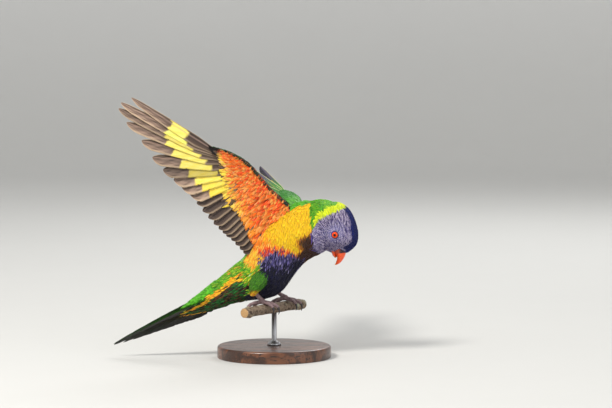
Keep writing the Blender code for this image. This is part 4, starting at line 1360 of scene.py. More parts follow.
def plan_vanes(wing, plan, height_at, rows, columns, outer_share, tip_start, notch):
    """Grids of vanes in a wing's plan: (grids, shares along, shares across, millimetres across and along).
    The plan holds each vane's root, swing, length, width and taper."""
    roots, swings, lengths, widths, tapers = plan
    shares = 1.0 - np.linspace(1.0, 0.0, rows) ** 1.25
    c, s = turned(swings[:, None, None])
    outline = np.minimum(1.0, 0.3 + 2.6 * shares)[None, :] * (
        tapers[:, None] + (1.0 - tapers[:, None]) * (1.0 - shares[None, :] ** 3)
    )
    into_tip = ((shares - tip_start) / (1.0 - tip_start)).clip(0.0, 1.0)
    outline = outline * np.sqrt(np.clip(1.0 - into_tip**2, 0.01, 1.0))[None, :]
    side_shares = np.linspace(-1.0, 1.0, columns)
    side_shares = np.sign(side_shares) * np.abs(side_shares) ** 0.9
    width = np.where(side_shares < 0, 1.0 - outer_share, outer_share)
    across = widths[:, None, None] * outline[:, :, None] * (side_shares * width)[None, None, :]
    across = across * np.where(np.abs(side_shares) > 0.99, notch, 1.0)
    run = np.broadcast_to(shares[None, :, None] * lengths[:, None, None], across.shape)
    slanted = run - 0.25 * np.abs(across)
    outward = roots[:, 0, None, None] + s * slanted + c * across
    forward = roots[:, 1, None, None] - c * slanted + s * across
    height = height_at(outward, forward, shares, across) + across * turned(VANE_TILT)[1]
    return wing.points(outward, forward, height), shares, side_shares, across, run


def plate_map(shares, side_shares, shape):
    """The bake map of plates, side by side: (map of their first faces, map of the others)."""
    slots = (np.arange(shape[0])[:, None, None] + 0.5 + 0.45 * side_shares) / shape[0]
    u = np.broadcast_to(slots, shape)
    v = 0.47 * np.broadcast_to(shares[None, :, None], shape)
    return np.stack([u, 0.01 + v], axis=-1), np.stack([u, 0.52 + v], axis=-1)


def build_flight_feathers(wing, side, finish):
    """The secondaries and primaries of a wing, each a long plate with a raised shaft and a few splits."""
    rng = np.random.default_rng(7)
    rows, columns = 72, 13
    count = len(FLIGHT_FEATHERS)
    shape = (count, rows, columns)
    places, swings, lengths, widths, tapers = FLIGHT_FEATHERS.T
    c, s = turned(swings)
    roots = along_arm(places) - np.stack([s, -c], axis=1)
    wave = rng.uniform(-1, 1, (count, 1, 1))
    split = rng.random((count, rows, 2))
    past_the_root = np.linspace(0, 1, rows)[None, :, None] > 0.3
    split = np.where((split > 0.965) & past_the_root, 0.72 + 0.2 * split, 1.0)
    notch = np.ones(shape)
    notch[:, :, (0, -1)] = split * (1.0 - 0.02 * rng.random((count, rows, 2)))

    def height_at(outward, forward, shares, across):
        curl = -0.9 * (shares[None, :, None] ** 2) * (np.abs(across) / 4.0)
        return curl + 0.3 * np.sin(shares * 4.0)[None, :, None] * wave

    plan = (roots, swings + rng.normal(0.0, 0.5, count), lengths + 1.0, widths, tapers)
    grid, shares, side_shares, across, run = plan_vanes(
        wing, plan, height_at, rows, columns, OUTER_WEB_SHARE, 0.88, notch
    )
    shaft = np.exp(-((across / 0.45) ** 2)) * (1.0 - 0.8 * shares[None, :, None])
    half = (0.13 * (1.0 - np.abs(side_shares)) + 0.07 + 0.3 * shaft)[..., None] * wing.up
    upper, lower = flight_colours(shares, side_shares, run, shaft, rng)
    above, below = plate_map(shares, side_shares, shape)
    faces = [(grid + half, upper, above), (grid - half, lower, below)]
    if wing.sign < 0:
        faces.reverse()
    (first, first_colours, first_map), (second, second_colours, second_map) = faces
    uv = np.concatenate([first_map, second_map], axis=1)
    piece = Plumage(f"flight_feathers_{side}")
    piece.add(first, first_colours, across, run, rng.random(count) * 100.0, uv, second, second_colours)
    return piece.build(finish, "wing_feathers")


# Where the yellow band starts and ends along the last three secondaries and the ten primaries
BAND_STARTS = (20.0, 20.0, 21.0, 21.5, 20.5, 20.0, 20.0, 22.0, 25.5, 28.0, 33.0, 37.0, 39.0)
BAND_ENDS = (24.0, 27.0, 31.0, 42.0, 43.5, 46.5, 49.0, 53.5, 59.5, 64.5, 64.0, 62.5, 58.0)


def flight_colours(shares, side_shares, run, shaft, rng):
    """Colours of the upper and lower faces of the flight feathers."""
    shape = run.shape
    count = shape[0]
    number = np.arange(count)[:, None, None]
    primary = number >= SECONDARY_COUNT
    side = np.broadcast_to(side_shares[None, None, :], shape)
    along = np.broadcast_to(shares[None, :, None], shape)
    inner = side < 0
    aside = np.abs(side)
    grain = ripple(np.stack([run, side * 5.0, np.broadcast_to(number * 3.1, shape)], axis=-1), 2.6)
    streaks = ripple(np.stack([run * 0.25, side * 7.0, np.broadcast_to(number * 1.7, shape)], axis=-1), 1.0)
    brown = plain((0.29, 0.22, 0.19), shape)
    brown = tint(brown, GREY_BROWN, (0.5 + 0.35 * streaks) * np.where(primary, 1.0, 0.35))
    brown = tint(brown, DARK_BROWN, np.where(primary, 0.1, 0.5) * (1.0 + 0.8 * streaks).clip(0, 1.5))
    # Painted sheen: the primaries turn paler mauve towards their tips
    paler = ease(along, 0.35, 0.8) * np.where(primary, 1.0, 0.12)
    brown = tint(brown, MAUVE_SHEEN, paler * (0.45 + 0.5 * streaks).clip(0, 1))
    # Pale rims: the webs' own paler edges, lightened further towards the tip as a painted highlight
    rim = ease(aside, 0.66, 0.95)
    brown = tint(brown, (0.88, 0.77, 0.64), np.where(primary, 0.8, 0.6) * rim * (0.35 + 0.65 * along))
    brown = tint(brown, DARK_BROWN, 0.75 * (~inner) * ease(aside, 0.15, 0.5) * (1 - rim))
    brown = tint(brown, DARK_BROWN, 0.75 * inner * ease(aside, 0.6, 0.05) * (1 - 0.3 * along))
    starts, ends = np.zeros((2, count, 1, 1))
    starts[-len(BAND_STARTS) :, 0, 0] = BAND_STARTS
    ends[-len(BAND_ENDS) :, 0, 0] = BAND_ENDS
    slanted = run - 5.0 * aside + 2.0 + 1.3 * grain
    in_band = ease(slanted, starts - 0.6, starts + 0.8) * ease(slanted, ends + 0.7, ends - 0.7) * (ends > 0)
    in_band = in_band * np.where(inner, 1.0, ease(aside, 0.9, 0.6) * primary)
    yellow = tint(plain(BAND_YELLOW, shape), (1.0, 0.96, 0.62), (0.35 + 0.4 * streaks).clip(0, 1))
    yellow = tint(yellow, (1.0, 0.78, 0.10), ease(-number, -SECONDARY_COUNT - 4, -SECONDARY_COUNT) * 0.6)
    lower = tint(blend_colours(brown, yellow, in_band), (0.66, 0.55, 0.50), 0.75 * shaft)
    # Painted sheen and highlight on the upper face: slate violet towards the tip, and a cream rim along the
    # outer web
    upper = tint(plain(SLATE_VIOLET_SHEEN, shape), DEEP_GREEN, (1 - inner) * ease(along, 0.7, 0.3))
    upper = tint(upper, (0.05, 0.04, 0.06), inner * 0.75)
    upper = tint(upper, CREAM_HIGHLIGHT, 0.9 * (1 - inner) * ease(aside, 0.8, 1.0))
    upper = tint(upper, BAND_YELLOW, in_band * inner * 0.7)
    tone = rng.normal(1.0, 0.12, (count, 1, 1, 1))
    return (upper * tone).clip(0, 1), (lower * tone).clip(0, 1)


# Where the rear edge of the coverts lies, outward and forward, under and over the wing
UNDER_REACH = (
    *((-14.0, -40.0), (0.0, -48.0), (8.0, -46.0), (20.0, -41.0), (33.0, -37.0), (45.0, -37.0), (51.0, -34.0)),
    *((58.0, -29.0), (69.0, -21.0), (78.0, -16.0), (86.0, -11.0), (95.0, -8.5), (104.0, -10.5)),
)
OVER_REACH = ((-14.0, -44.0), (8.0, -44.0), (28.0, -41.0), (60.0, -34.0), (80.0, -27.0), (104.0, -18.0))
# Tiers of coverts from the rear to the leading edge, as values read evenly along the tiers: how far back the
# tips reach as a share, spacing, length and width
COVERT_TIERS = 15
COVERT_TIPS = (1.22, 1.04, 0.86, 0.68, 0.50, 0.33, 0.17, 0.05)
COVERT_SPACINGS = (3.6, 2.6, 2.3, 2.1, 1.9, 1.8, 1.7)
COVERT_LENGTHS = (25.0, 18.0, 14.5, 12.0, 10.0, 8.0, 6.0, 4.5)
COVERT_WIDTHS = (7.0, 4.8, 4.2, 3.8, 3.4, 3.0, 2.4)


def build_coverts(wing, side, face, finish):
    """Tiers of small feathers over one face of a wing: face is 1 for the upper side and -1 for the lower."""
    rng = np.random.default_rng(11 if face > 0 else 12)
    piece = Plumage(f"{'upper' if face > 0 else 'under'}_coverts_{side}")
    rows, columns = 8, 5
    rear_edge = np.array(OVER_REACH if face > 0 else UNDER_REACH)
    loose = 0.55 if face > 0 else 1.0
    for number in range(COVERT_TIERS):
        share = number / (COVERT_TIERS - 1)
        spacing = read_between(COVERT_SPACINGS, share) * 1.0
        outward = np.arange(-13.0, 103.0, spacing * 0.62)
        count = len(outward)
        outward = outward + rng.normal(0.0, spacing * 0.25, count)
        lead = arm_at(outward)[0]
        rear = np.interp(outward, rear_edge[:, 0], rear_edge[:, 1])
        reach = read_between(COVERT_TIPS, share) + rng.normal(0.0, 0.05 * loose, count)
        reach = np.where(outward > 48.0, reach, np.minimum(reach, 1.04))
        depth = (lead - rear) * reach
        swings = swing_over(outward) * 0.9 + rng.normal(0.0, 9.0 * loose, count) + 6.0 * share
        scale = np.interp(outward, (-14, 60, 104), (1.1, 1.0, 0.62))
        lengths = read_between(COVERT_LENGTHS, share) * rng.uniform(0.82, 1.15, count) * scale
        widths = read_between(COVERT_WIDTHS, share) * rng.uniform(0.8, 1.15, count) * scale
        c, s = turned(swings)
        roots = np.stack([outward - s * lengths, lead - depth + c * lengths], axis=1)
        in_front = np.maximum(0.0, roots[:, 1] - lead + 1.0)
        roots[:, 1] -= in_front
        lengths = np.maximum(lengths - in_front, 3.0)
        lift = rng.uniform(0.6, 1.0 + 1.2 * loose, count)[:, None, None]

        def height_at(p, q, shares, across):
            rise = -0.5 + (lift + 0.5) * shares[None, :, None] ** 0.9 + 0.5 * share
            _, untilt = turned(VANE_TILT)
            return face * (arm_height(p, q) + rise - 0.12 * np.abs(across) ** 1.3) - across * untilt

        notch = 1.0 - 0.45 * loose * rng.random((count, rows, columns)) ** 2.5
        plan = (roots, swings, lengths, widths, np.full(count, 0.75))
        grid, shares, side_shares, across, run = plan_vanes(
            wing, plan, height_at, rows, columns, 0.5, 0.35, notch
        )
        shape = grid.shape[:3]
        colours = covert_colours(shape, outward, depth, share, face, shares, side_shares, rng)
        if face * wing.sign < 0:
            grid, colours, across = grid[:, :, ::-1], colours[:, :, ::-1], across[:, :, ::-1]
        along_wing = 0.04 + 0.92 * (outward + 16.0) / 122.0
        places = np.stack([along_wing, np.full(count, 0.03 + 0.94 * share)], axis=1)
        uv = patch_map(places, side_shares, shares, shape)
        piece.add(grid, colours, across, run, rng.random(count) * 100.0, uv)
    return piece.build(finish, "wing_feathers")


def covert_colours(shape, outward, depth, tier, face, shares, side_shares, rng):
    """Colours of one tier of coverts, with paler or yellow tips under the wing and green over it. depth is
    how far behind the leading edge the tips lie."""
    count = shape[0]
    chance, second = rng.random((2, count))

    def mixed(first, last, share):
        return tint(plain(first, (count,)), last, share)

    if face > 0:
        base = mixed(DEEP_GREEN, BLACK_GREEN, ease(outward, 40, 80) * (tier < 0.2))
        tips = mixed(LEAF_GREEN, DEEP_GREEN, ease(outward, 45, 85) * 0.8 + 0.2 * second)
        # Painted sheen and highlight: the outer coverts' green greyed towards slate violet, with pale
        # yellow-green edges
        outer = ease(outward, 18, 44) * ease(tier, 0.42, 0.1)
        tips = tint(tips, SLATE_VIOLET_SHEEN, outer * 0.5)
        edges = tint(tips, (0.62, 0.74, 0.30), outer * 0.35)
    elif tier < 0.06:
        base = plain(DARK_BROWN, (count,))
        tips = mixed(GREY_BROWN, BAND_YELLOW, (chance > 0.35) * ease(outward, 46, 52) * ease(outward, 86, 80))
        tips = tint(tips, (1.0, 0.60, 0.16), (chance < 0.85) * ease(outward, 44, 38))
        edges = tips
    else:
        red = mixed((1.0, 0.44, 0.06), (0.97, 0.26, 0.03), ease(chance, 0.6, 1.0))
        red = tint(red, (1.0, 0.62, 0.26), 0.9 * (chance < 0.3))
        base = tint(red, (0.82, 0.20, 0.05), 0.5)
        golden = ease(0.24 - tier + 0.16 * second, 0.0, 0.2) * ease(outward, 16, 40)
        tips = tint(red, (1.0, 0.80, 0.26), golden)
        # Peach edges: the coverts' own paler edges, lightened further as a painted highlight
        edges = tint(tips, (1.0, 0.82, 0.56), 0.25 + 0.6 * (second < 0.45) * (tier < 0.8))
        green = 0.7 * ease(depth, 6.0, 4.0) * ease(outward, 4, 30) * ease(tier, 0.75, 0.9) * (chance < 0.7)
        tips = tint(tips, (0.08, 0.34, 0.06), green)
        front = ease(depth, 4.2, 2.6) * (outward > -4) * (tier > 0.9)
        tips = tint(tips, (0.06, 0.14, 0.05), front)
        dusky = ease(outward, 88, 97)
        tips = tint(tips, DARK_BROWN, dusky)
        dark = np.maximum(np.maximum(green, dusky), front)
        base = tint(base, (0.05, 0.08, 0.04), dark)
        edges = np.where(dark[:, None] > 0.5, tips, edges)
    base, tips, edges = (colours[:, None, None, :] for colours in (base, tips, edges))
    fade = ease(shares, 0.15, 0.7)[None, :, None]
    rim = ease(np.abs(side_shares), 0.4, 1.0)[None, None, :] * ease(shares, 0.3, 0.8)[None, :, None]
    colours = blend_colours(blend_colours(base, tips, fade), edges, rim)
    tone = rng.normal(1.0, 0.10, (count, 1, 1, 1)).clip(0.7, 1.3)
    return np.broadcast_to(colours * tone, (*shape, 3)).clip(0.0, 1.0)


def build_wings():
    vane, under, over = map(feather_finish, ("flight_feather", "underwing_covert", "upperwing_covert"))
    for side, wing in WINGS.items():
        flight = build_flight_feathers(wing, side, vane)
        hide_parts(f"wing_{side}")
        build_coverts(wing, side, -1.0, under)
        build_coverts(wing, side, 1.0, over)


# Tail


def tail_colours(outer_pair, outside, shares, shaft):
    """Colours of a tail feather's upper and lower faces. outside tells which columns are its outer vane."""
    green = tint(plain(DEEP_GREEN, shaft.shape), LEAF_GREEN, (0.85 - 0.6 * shares)[:, None])
    if outer_pair:
        green = tint(green, (0.82, 0.72, 0.12), 0.8 * ease(shares, 0.9, 0.55)[:, None] * (~outside))
    # Painted shade: the lower face is dull olive painted near black, yellower on the inner vane near the root
    shaded_olive = plain((0.075, 0.065, 0.04), shaft.shape)
    shaded_olive = tint(shaded_olive, (0.40, 0.34, 0.09), 0.5 * ease(shares, 0.7, 0.2)[:, None] * (~outside))
    return tint(green, BLACK_GREEN, 0.7 * shaft), tint(shaded_olive, (0.22, 0.18, 0.13), 0.5 * shaft)


def build_tail():
    """Six pairs of tail feathers, the middle pair longest and on top."""
    rng = np.random.default_rng(21)
    back, up, right = side_view_frame(TAIL_DROOP, BODY_ROLL)
    rows, columns = 44, 9
    shares = np.linspace(0.0, 1.0, rows)
    side_shares = np.linspace(-1.0, 1.0, columns)
    outline = np.minimum(1.0, 0.35 + 2.4 * shares) * np.minimum(1.0, 1.45 * (1.0 - shares) ** 0.55 + 0.01)
    vane = TAIL_WIDTH / 2 * outline[:, None] * side_shares
    feathers = []
    for pair, length in enumerate(TAIL_LENGTHS):
        for sign in (1.0, -1.0):
            c, s = turned(sign * (0.8 + TAIL_SPREAD * pair))
            run = -back * c + right * s - up * TAIL_FAN_DROP * pair
            ct, st = turned(TAIL_TILT * pair)
            side = unit(right * c + back * s) * ct - up * st * sign
            normal = up * ct + right * st * sign
            drop = TAIL_STEP * (2 * pair + (sign < 0)) * (1.0 - TAIL_CLOSING * shares**1.6)
            start = TAIL_ROOT + right * sign * (0.7 + TAIL_ROOT_SPACING * pair) + up * TAIL_STACK / 2
            middles = start + np.outer(shares * length, run) - np.outer(drop, up)
            _, inward = turned(0.8 + TAIL_SPREAD * pair * TAIL_CLOSING)
            middles = middles - np.outer(sign * length * shares**2 * inward, right)
            across = vane * (1.0 - 0.25 * rng.random((rows, columns)) ** 6 * (np.abs(side_shares) > 0.99))
            grid = middles[:, None, :] + across[..., None] * side - 0.02 * (across**2)[..., None] * normal
            grid = grid - (0.22 * np.abs(across))[..., None] * run
            shaft = np.exp(-((across / 0.5) ** 2)) * (1.0 - 0.8 * shares[:, None])
            half = (0.125 * (1.0 - np.abs(side_shares)) + 0.07 + 0.25 * shaft)[..., None] * normal
            upper, lower = tail_colours(pair > 0, side_shares * sign > 0, shares, shaft)
            feathers.append((grid + half, upper, grid - half, lower))
    tops, upper, unders, lower = (np.array(each)[:, :, ::-1] for each in zip(*feathers))
    shape = tops.shape[:3]
    across = np.broadcast_to(vane[:, ::-1], shape)
    along = np.broadcast_to(shares[:, None] * np.repeat(TAIL_LENGTHS, 2)[:, None, None], shape)
    uv = np.concatenate(plate_map(shares, side_shares[::-1], shape), axis=1)
    piece = Plumage("tail_feathers")
    piece.add(tops, upper, across, along, rng.random(len(tops)) * 100.0, uv, unders, lower)
    made = piece.build(feather_finish("tail_feather"), "tail_feathers")
    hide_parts("tail")


# Bill, cere and eyes


def bill_rings(rows, sides, proud=0.0, keel=0.0):
    """Rings of a mandible over rows in the head's frame. keel narrows its upper or lower half to a ridge."""
    slopes = np.gradient(rows[:, :2], axis=0)
    angles = round_angles(sides)
    rings = []
    for (forward, height, half_height, half_width), slope in zip(rows, slopes):
        run, rise = unit(slope)
        lift = -HEAD_AHEAD * rise + HEAD_UP * run
        centre = head_point(forward, height, 0.0)
        narrow = 1.0 - keel * np.clip(np.cos(angles), 0.0, 1.0) ** 2
        up = (half_height + proud) * np.cos(angles)
        across = (half_width + proud) * np.sin(angles) * narrow
        rings.append(centre + up[:, None] * lift + across[:, None] * HEAD_RIGHT)
    return np.array(rings)


def bill_finish():
    finish = Finish("bill_horn")
    along = finish.attribute("reach")
    streaks = finish.noise(finish.where(), 420.0, 5.0, 1.2)
    red = finish.mix(streaks, dye((0.90, 0.20, 0.05)), dye((1.0, 0.42, 0.12)))
    growth = finish.math("SINE", finish.math("MULTIPLY", along, 150.0))
    height = finish.math("ADD", finish.math("MULTIPLY", growth, 0.25), streaks)
    return finish.feed(
        base_color=finish.mix(finish.spread(along, 0.72, 0.98), red, dye((1.0, 0.72, 0.30))),
        roughness=finish.spread(streaks, 0.3, 0.7, 0.24, 0.40),
        normal=finish.relief(height, 0.25),
        coat_weight=0.25,
        coat_roughness=0.15,
        subsurface_weight=0.12,
        subsurface_scale=0.001,
    )


def build_bill():
    finish = bill_finish()
    for name, stations, keel in (("bill_upper", UPPER_BILL, 0.22), ("bill_lower", LOWER_BILL, 0.0)):
        rings = bill_rings(through(stations, 56), 48, keel=keel)
        points, faces = tube_of(rings)
        made = face_out(add_object(f"{name}_horn", points, faces, finish, "bill_horn"))
        reach = np.repeat(np.linspace(0.0, 1.0, len(rings)), rings.shape[1])
        write_attribute(made, "reach", "FLOAT", np.concatenate([reach, [0.0, 1.0]]))
        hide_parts(name)


def cere_finish():
    finish = Finish("cere_skin")
    tone = finish.mix(finish.attribute("dusk"), dye((0.72, 0.30, 0.18)), dye((0.17, 0.13, 0.17)))
    tone, unevenness = finish.mottled(tone, 500.0, 0.5)
    # Painted shade: near black in the nostrils' pits
    tone = finish.mix(finish.attribute("nostril_shade"), tone, dye((0.03, 0.02, 0.02)))
    return finish.feed(base_color=tone, roughness=0.55, normal=finish.relief(unevenness, 0.4))


def build_cere():
    """The soft collar at the root of the bill, dark round the nostril on each side."""
    nearest, farthest = CERE_REACH
    rows = np.array([row for row in through(UPPER_BILL, 260) if nearest - 1.0 <= row[0] <= farthest])
    rings = bill_rings(rows, 96, proud=CERE_STANDS_PROUD * 0.75)
    middle = rings.mean(axis=1, keepdims=True)
    swell = np.sin(np.linspace(0.25, 1.0, len(rings)) * math.pi)[:, None, None]
    points, faces = tube_of(middle + (rings - middle) * (0.94 + 0.09 * swell))
    points = np.array(points)
    nostril_shade, dusk = np.zeros((2, len(points)))
    forward, height, side = NOSTRIL_PLACE
    for sign in (1.0, -1.0):
        nostril = head_point(forward, height, sign * side)
        gap = np.linalg.norm(points - nostril, axis=1)
        # Painted shade: each nostril's pit is marked to be painted near black
        hole = ease(gap, 1.25, 0.45)
        rim = np.exp(-(((gap - 1.45) / 0.4) ** 2))
        inward = unit(head_point(forward, height - 3.0, 0.0) - nostril)
        points += inward * (1.1 * hole - 0.16 * rim)[:, None]
        nostril_shade, dusk = np.maximum(nostril_shade, hole), np.maximum(dusk, ease(gap, 5.2, 2.6))
    cere = face_out(add_object("cere_skin", points, faces, cere_finish(), "cere_skin"))
    write_attribute(cere, "nostril_shade", "FLOAT", nostril_shade)
    write_attribute(cere, "dusk", "FLOAT", dusk)
    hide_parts("cere")


def eye_finish():
    """A wet eye: a round pupil, and an iris with fine spokes and a dark rim."""
    finish = Finish("eye_wet")
    radial = finish.attribute("radial")
    fibres = finish.noise(finish.attribute("spoke", "Vector"), 6.0, 4.0)
    iris = finish.mix(fibres, dye((0.80, 0.10, 0.03)), dye((1.0, 0.38, 0.08)))
    rimmed = finish.mix(finish.spread(radial, 2.7, 3.25), iris, dye((0.14, 0.03, 0.02)))
    tone = finish.mix(finish.spread(radial, 1.42, 1.30), rimmed, (0.002, 0.002, 0.003, 1.0))
    return finish.feed(base_color=tone, roughness=0.06, ior=1.33)


def lid_finish():
    finish = Finish("eyelid_skin")
    tone, unevenness = finish.mottled(dye((0.16, 0.15, 0.24)), 700.0, 0.6)
    return finish.feed(base_color=tone, roughness=0.5, normal=finish.relief(unevenness, 0.5))


def build_eyes():
    wet, bare = eye_finish(), lid_finish()
    for sign, side in ((1.0, "right"), (-1.0, "left")):
        centre = head_point(EYE_FORWARD, EYE_HEIGHT, sign * EYE_SIDE)
        outward = sign * HEAD_RIGHT
        rings = []
        for angle in np.linspace(0.02, math.pi - 0.02, 48):
            bulge = 1.0 + 0.07 * math.exp(-((angle / 0.55) ** 2))
            middle = centre + outward * EYE_RADIUS * math.cos(angle) * bulge
            reach = EYE_RADIUS * math.sin(angle)
            rings.append(ellipse_ring(middle, HEAD_UP, HEAD_AHEAD, reach, reach, 64))
        points, faces = tube_of(rings)
        eye = face_out(add_object(f"eye_{side}_ball", points, faces, wet, "eye"))
        away = np.array(points) - centre
        flat = away - np.outer(away @ outward, outward)
        radial = np.where(away @ outward > 0, np.linalg.norm(flat, axis=1), 4.0)
        write_attribute(eye, "radial", "FLOAT", radial)
        write_attribute(eye, "spoke", "FLOAT_VECTOR", unit(flat) + outward * (radial * 0.1)[:, None])
        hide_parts(f"eye_{side}")
        build_lid(side, centre, outward, bare)


def build_lid(side, centre, outward, finish):
    """A ring of bare skin that laps on to the eyeball, beaded along its rim."""
    turns, sides = 144, 12
    radius = EYE_OPENING + 0.08
    on_ball = math.sqrt(max(EYE_RADIUS**2 - radius**2, 0.1))
    rings = []
    for angle in round_angles(turns):
        out = math.cos(angle) * HEAD_AHEAD + 0.93 * math.sin(angle) * HEAD_UP
        middle = centre + out * radius + outward * (on_ball + 0.16)
        bead = 1.0 + 0.16 * math.cos(angle * 26)
        rings.append(ellipse_ring(middle, out, outward, 0.62 * bead, 0.44 * bead, sides))
    faces = ring_faces(turns, sides)
    face_out(add_object(f"eyelid_{side}", np.concatenate(rings), faces, finish, "cere_skin"))


# Feet and claws


def foot_finish():
    finish = Finish("foot_scales")
    inputs = {"Vector": finish.where(), "Scale": 1700.0, "Randomness": 0.7}
    cells = finish.node("ShaderNodeTexVoronoi", inputs, feature="DISTANCE_TO_EDGE").outputs["Distance"]
    plates = finish.spread(cells, 0.0, 0.35)
    tone = finish.mix(plates, dye((0.40, 0.31, 0.32)), dye((0.66, 0.56, 0.57)))
    tone, _ = finish.mottled(tone, 350.0, 0.9)
    return finish.feed(base_color=tone, roughness=0.6, normal=finish.relief(plates, 0.7))


def claw_finish():
    finish = Finish("claw_horn")
    tone, unevenness = finish.mottled(dye((0.16, 0.14, 0.15)), 260.0, 0.8)
    return finish.feed(base_color=tone, roughness=finish.spread(unevenness, 0.5, 1.1, 0.28, 0.46))


def toe_path(foot, yaw, reach, last, count):
    """Points along a toe that wraps over the twig."""
    c, s = turned(FOOT_YAW + yaw)
    heading = np.array((c, s, 0.0))
    centre = np.array((*foot, PERCH_TOP - PERCH_RADIUS))
    lift = PERCH_RADIUS + 0.3 + TOE_RADIUS
    angles = np.radians(np.linspace(0.0, last, count))
    path = centre + np.outer(reach * np.sin(angles), heading) + np.outer(lift * np.cos(angles), Z_AXIS)
    return path, heading


def build_feet():
    scales, horn = foot_finish(), claw_finish()
    shares = np.linspace(0.0, 1.0, 40)
    toe_radii = TOE_RADIUS * (1.0 - 0.26 * shares) + 0.22 * np.abs(np.sin(shares * 3.5 * math.pi))
    shank_radii = 2.25 + 0.3 * np.cos(np.linspace(0, 2 * math.pi, 24))
    turns = np.linspace(0.0, math.pi, 25)[1:-1]
    ball = [(2.9 * math.sin(angle), 2.9 * math.cos(angle)) for angle in turns]
    for side, foot, ankle in (("right", RIGHT_FOOT, RIGHT_ANKLE), ("left", LEFT_FOOT, LEFT_ANKLE)):
        knuckle = np.array((*foot, PERCH_TOP + 3.1))
        shank = np.linspace(np.array(ankle) + (0.0, 0.0, 3.0), knuckle, 24)
        shapes = [path_tube(shank, shank_radii, 24), turned_shape(ball, 32, knuckle)]
        paths = []
        for number, (yaw, reach, last, claw_length) in enumerate(TOES, 1):
            path, heading = toe_path(foot, yaw, reach, last, 40)
            shapes.append(path_tube(path, toe_radii, 20))
            paths.append(path)
            end, along = path[-1], unit(path[-1] - path[-2])
            claw = build_claw(f"{side}_{number}", end, along, heading, claw_length, horn)
            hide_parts(f"claw_{side}_{number}")
        points, faces = join_shapes(shapes)
        made = face_out(add_object(f"foot_{side}_scaled", points, faces, None))
        fuse(made, 0.34, 3)
        raise_scutes(made.data, [*paths, shank])
        made.data.materials.append(scales)
        made.data.shade_smooth()
        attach(made, "root")
        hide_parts(f"foot_{side}")


def raise_scutes(mesh, paths):
    """Raises a row of scutes along the top of each toe and the shank."""
    points, normals = read_points(mesh)
    runs = np.concatenate([distances(path) for path in paths])
    tree = search_tree(np.concatenate(paths))
    run = np.array([runs[tree.find(p)[1]] for p in points.tolist()])
    scute = np.abs(np.sin(run / 1.5 * math.pi)) ** 0.6
    above = ease(normals[:, 2], -0.1, 0.5)
    move_points(mesh, points + normals * (0.16 * (scute - 0.6) * above)[:, None])


def build_claw(label, end, along, heading, length, finish):
    """A claw that carries on from the end of a toe, and curves down to a point."""
    drop = math.atan2(-along[2], along @ heading)
    point = end - along * 0.8
    path = []
    count = 26
    for _ in range(count):
        path.append(point)
        point = point + (heading * math.cos(drop) - Z_AXIS * math.sin(drop)) * (length + 0.8) / (count - 1)
        drop += math.radians(68.0 / count)
    radii = 1.25 * (1.0 - np.linspace(0.0, 1.0, count)) ** 0.75 + 0.1
    points, faces = path_tube(path, radii, 16)
    return face_out(add_object(f"claw_{label}_horn", points, faces, finish, "claw_horn"))


# Perch and stand


def bark_finish():
    """Furrowed bark with patches of lichen, and pale wood with rings on the cut ends."""
    finish = Finish("twig_bark")
    along_twig = finish.where((0.14, 1.0, 1.0), (0.0, 0.0, -0.97))
    fibres = finish.noise(along_twig, 1100.0, 8.0, 0.4, 0.72)
    furrow = finish.spread(finish.noise(along_twig, 380.0, 5.0, 0.9), 0.34, 0.50)
    lichen = finish.spread(finish.noise(finish.where(), 90.0, 4.0), 0.55, 0.68)
    bark = finish.mix(fibres, dye((0.30, 0.23, 0.18)), dye((0.66, 0.58, 0.49)))
    bark = finish.mix(lichen, bark, dye((0.62, 0.62, 0.52)))
    bark = finish.mix(furrow, dye((0.27, 0.21, 0.17)), bark)
    rings = finish.math("SINE", finish.math("MULTIPLY", finish.attribute("radius"), 9.0))
    wood = finish.mix(finish.spread(rings, -0.4, 1.0), dye((0.60, 0.44, 0.28)), dye((0.80, 0.66, 0.46)))
    tone = finish.mix(finish.spread(finish.attribute("cut_end"), 0.45, 0.55), bark, wood)
    height = finish.math("ADD", finish.math("MULTIPLY", fibres, 0.8), furrow)
    return finish.feed(base_color=tone, roughness=0.85, normal=finish.relief(height, 0.8, 0.4))


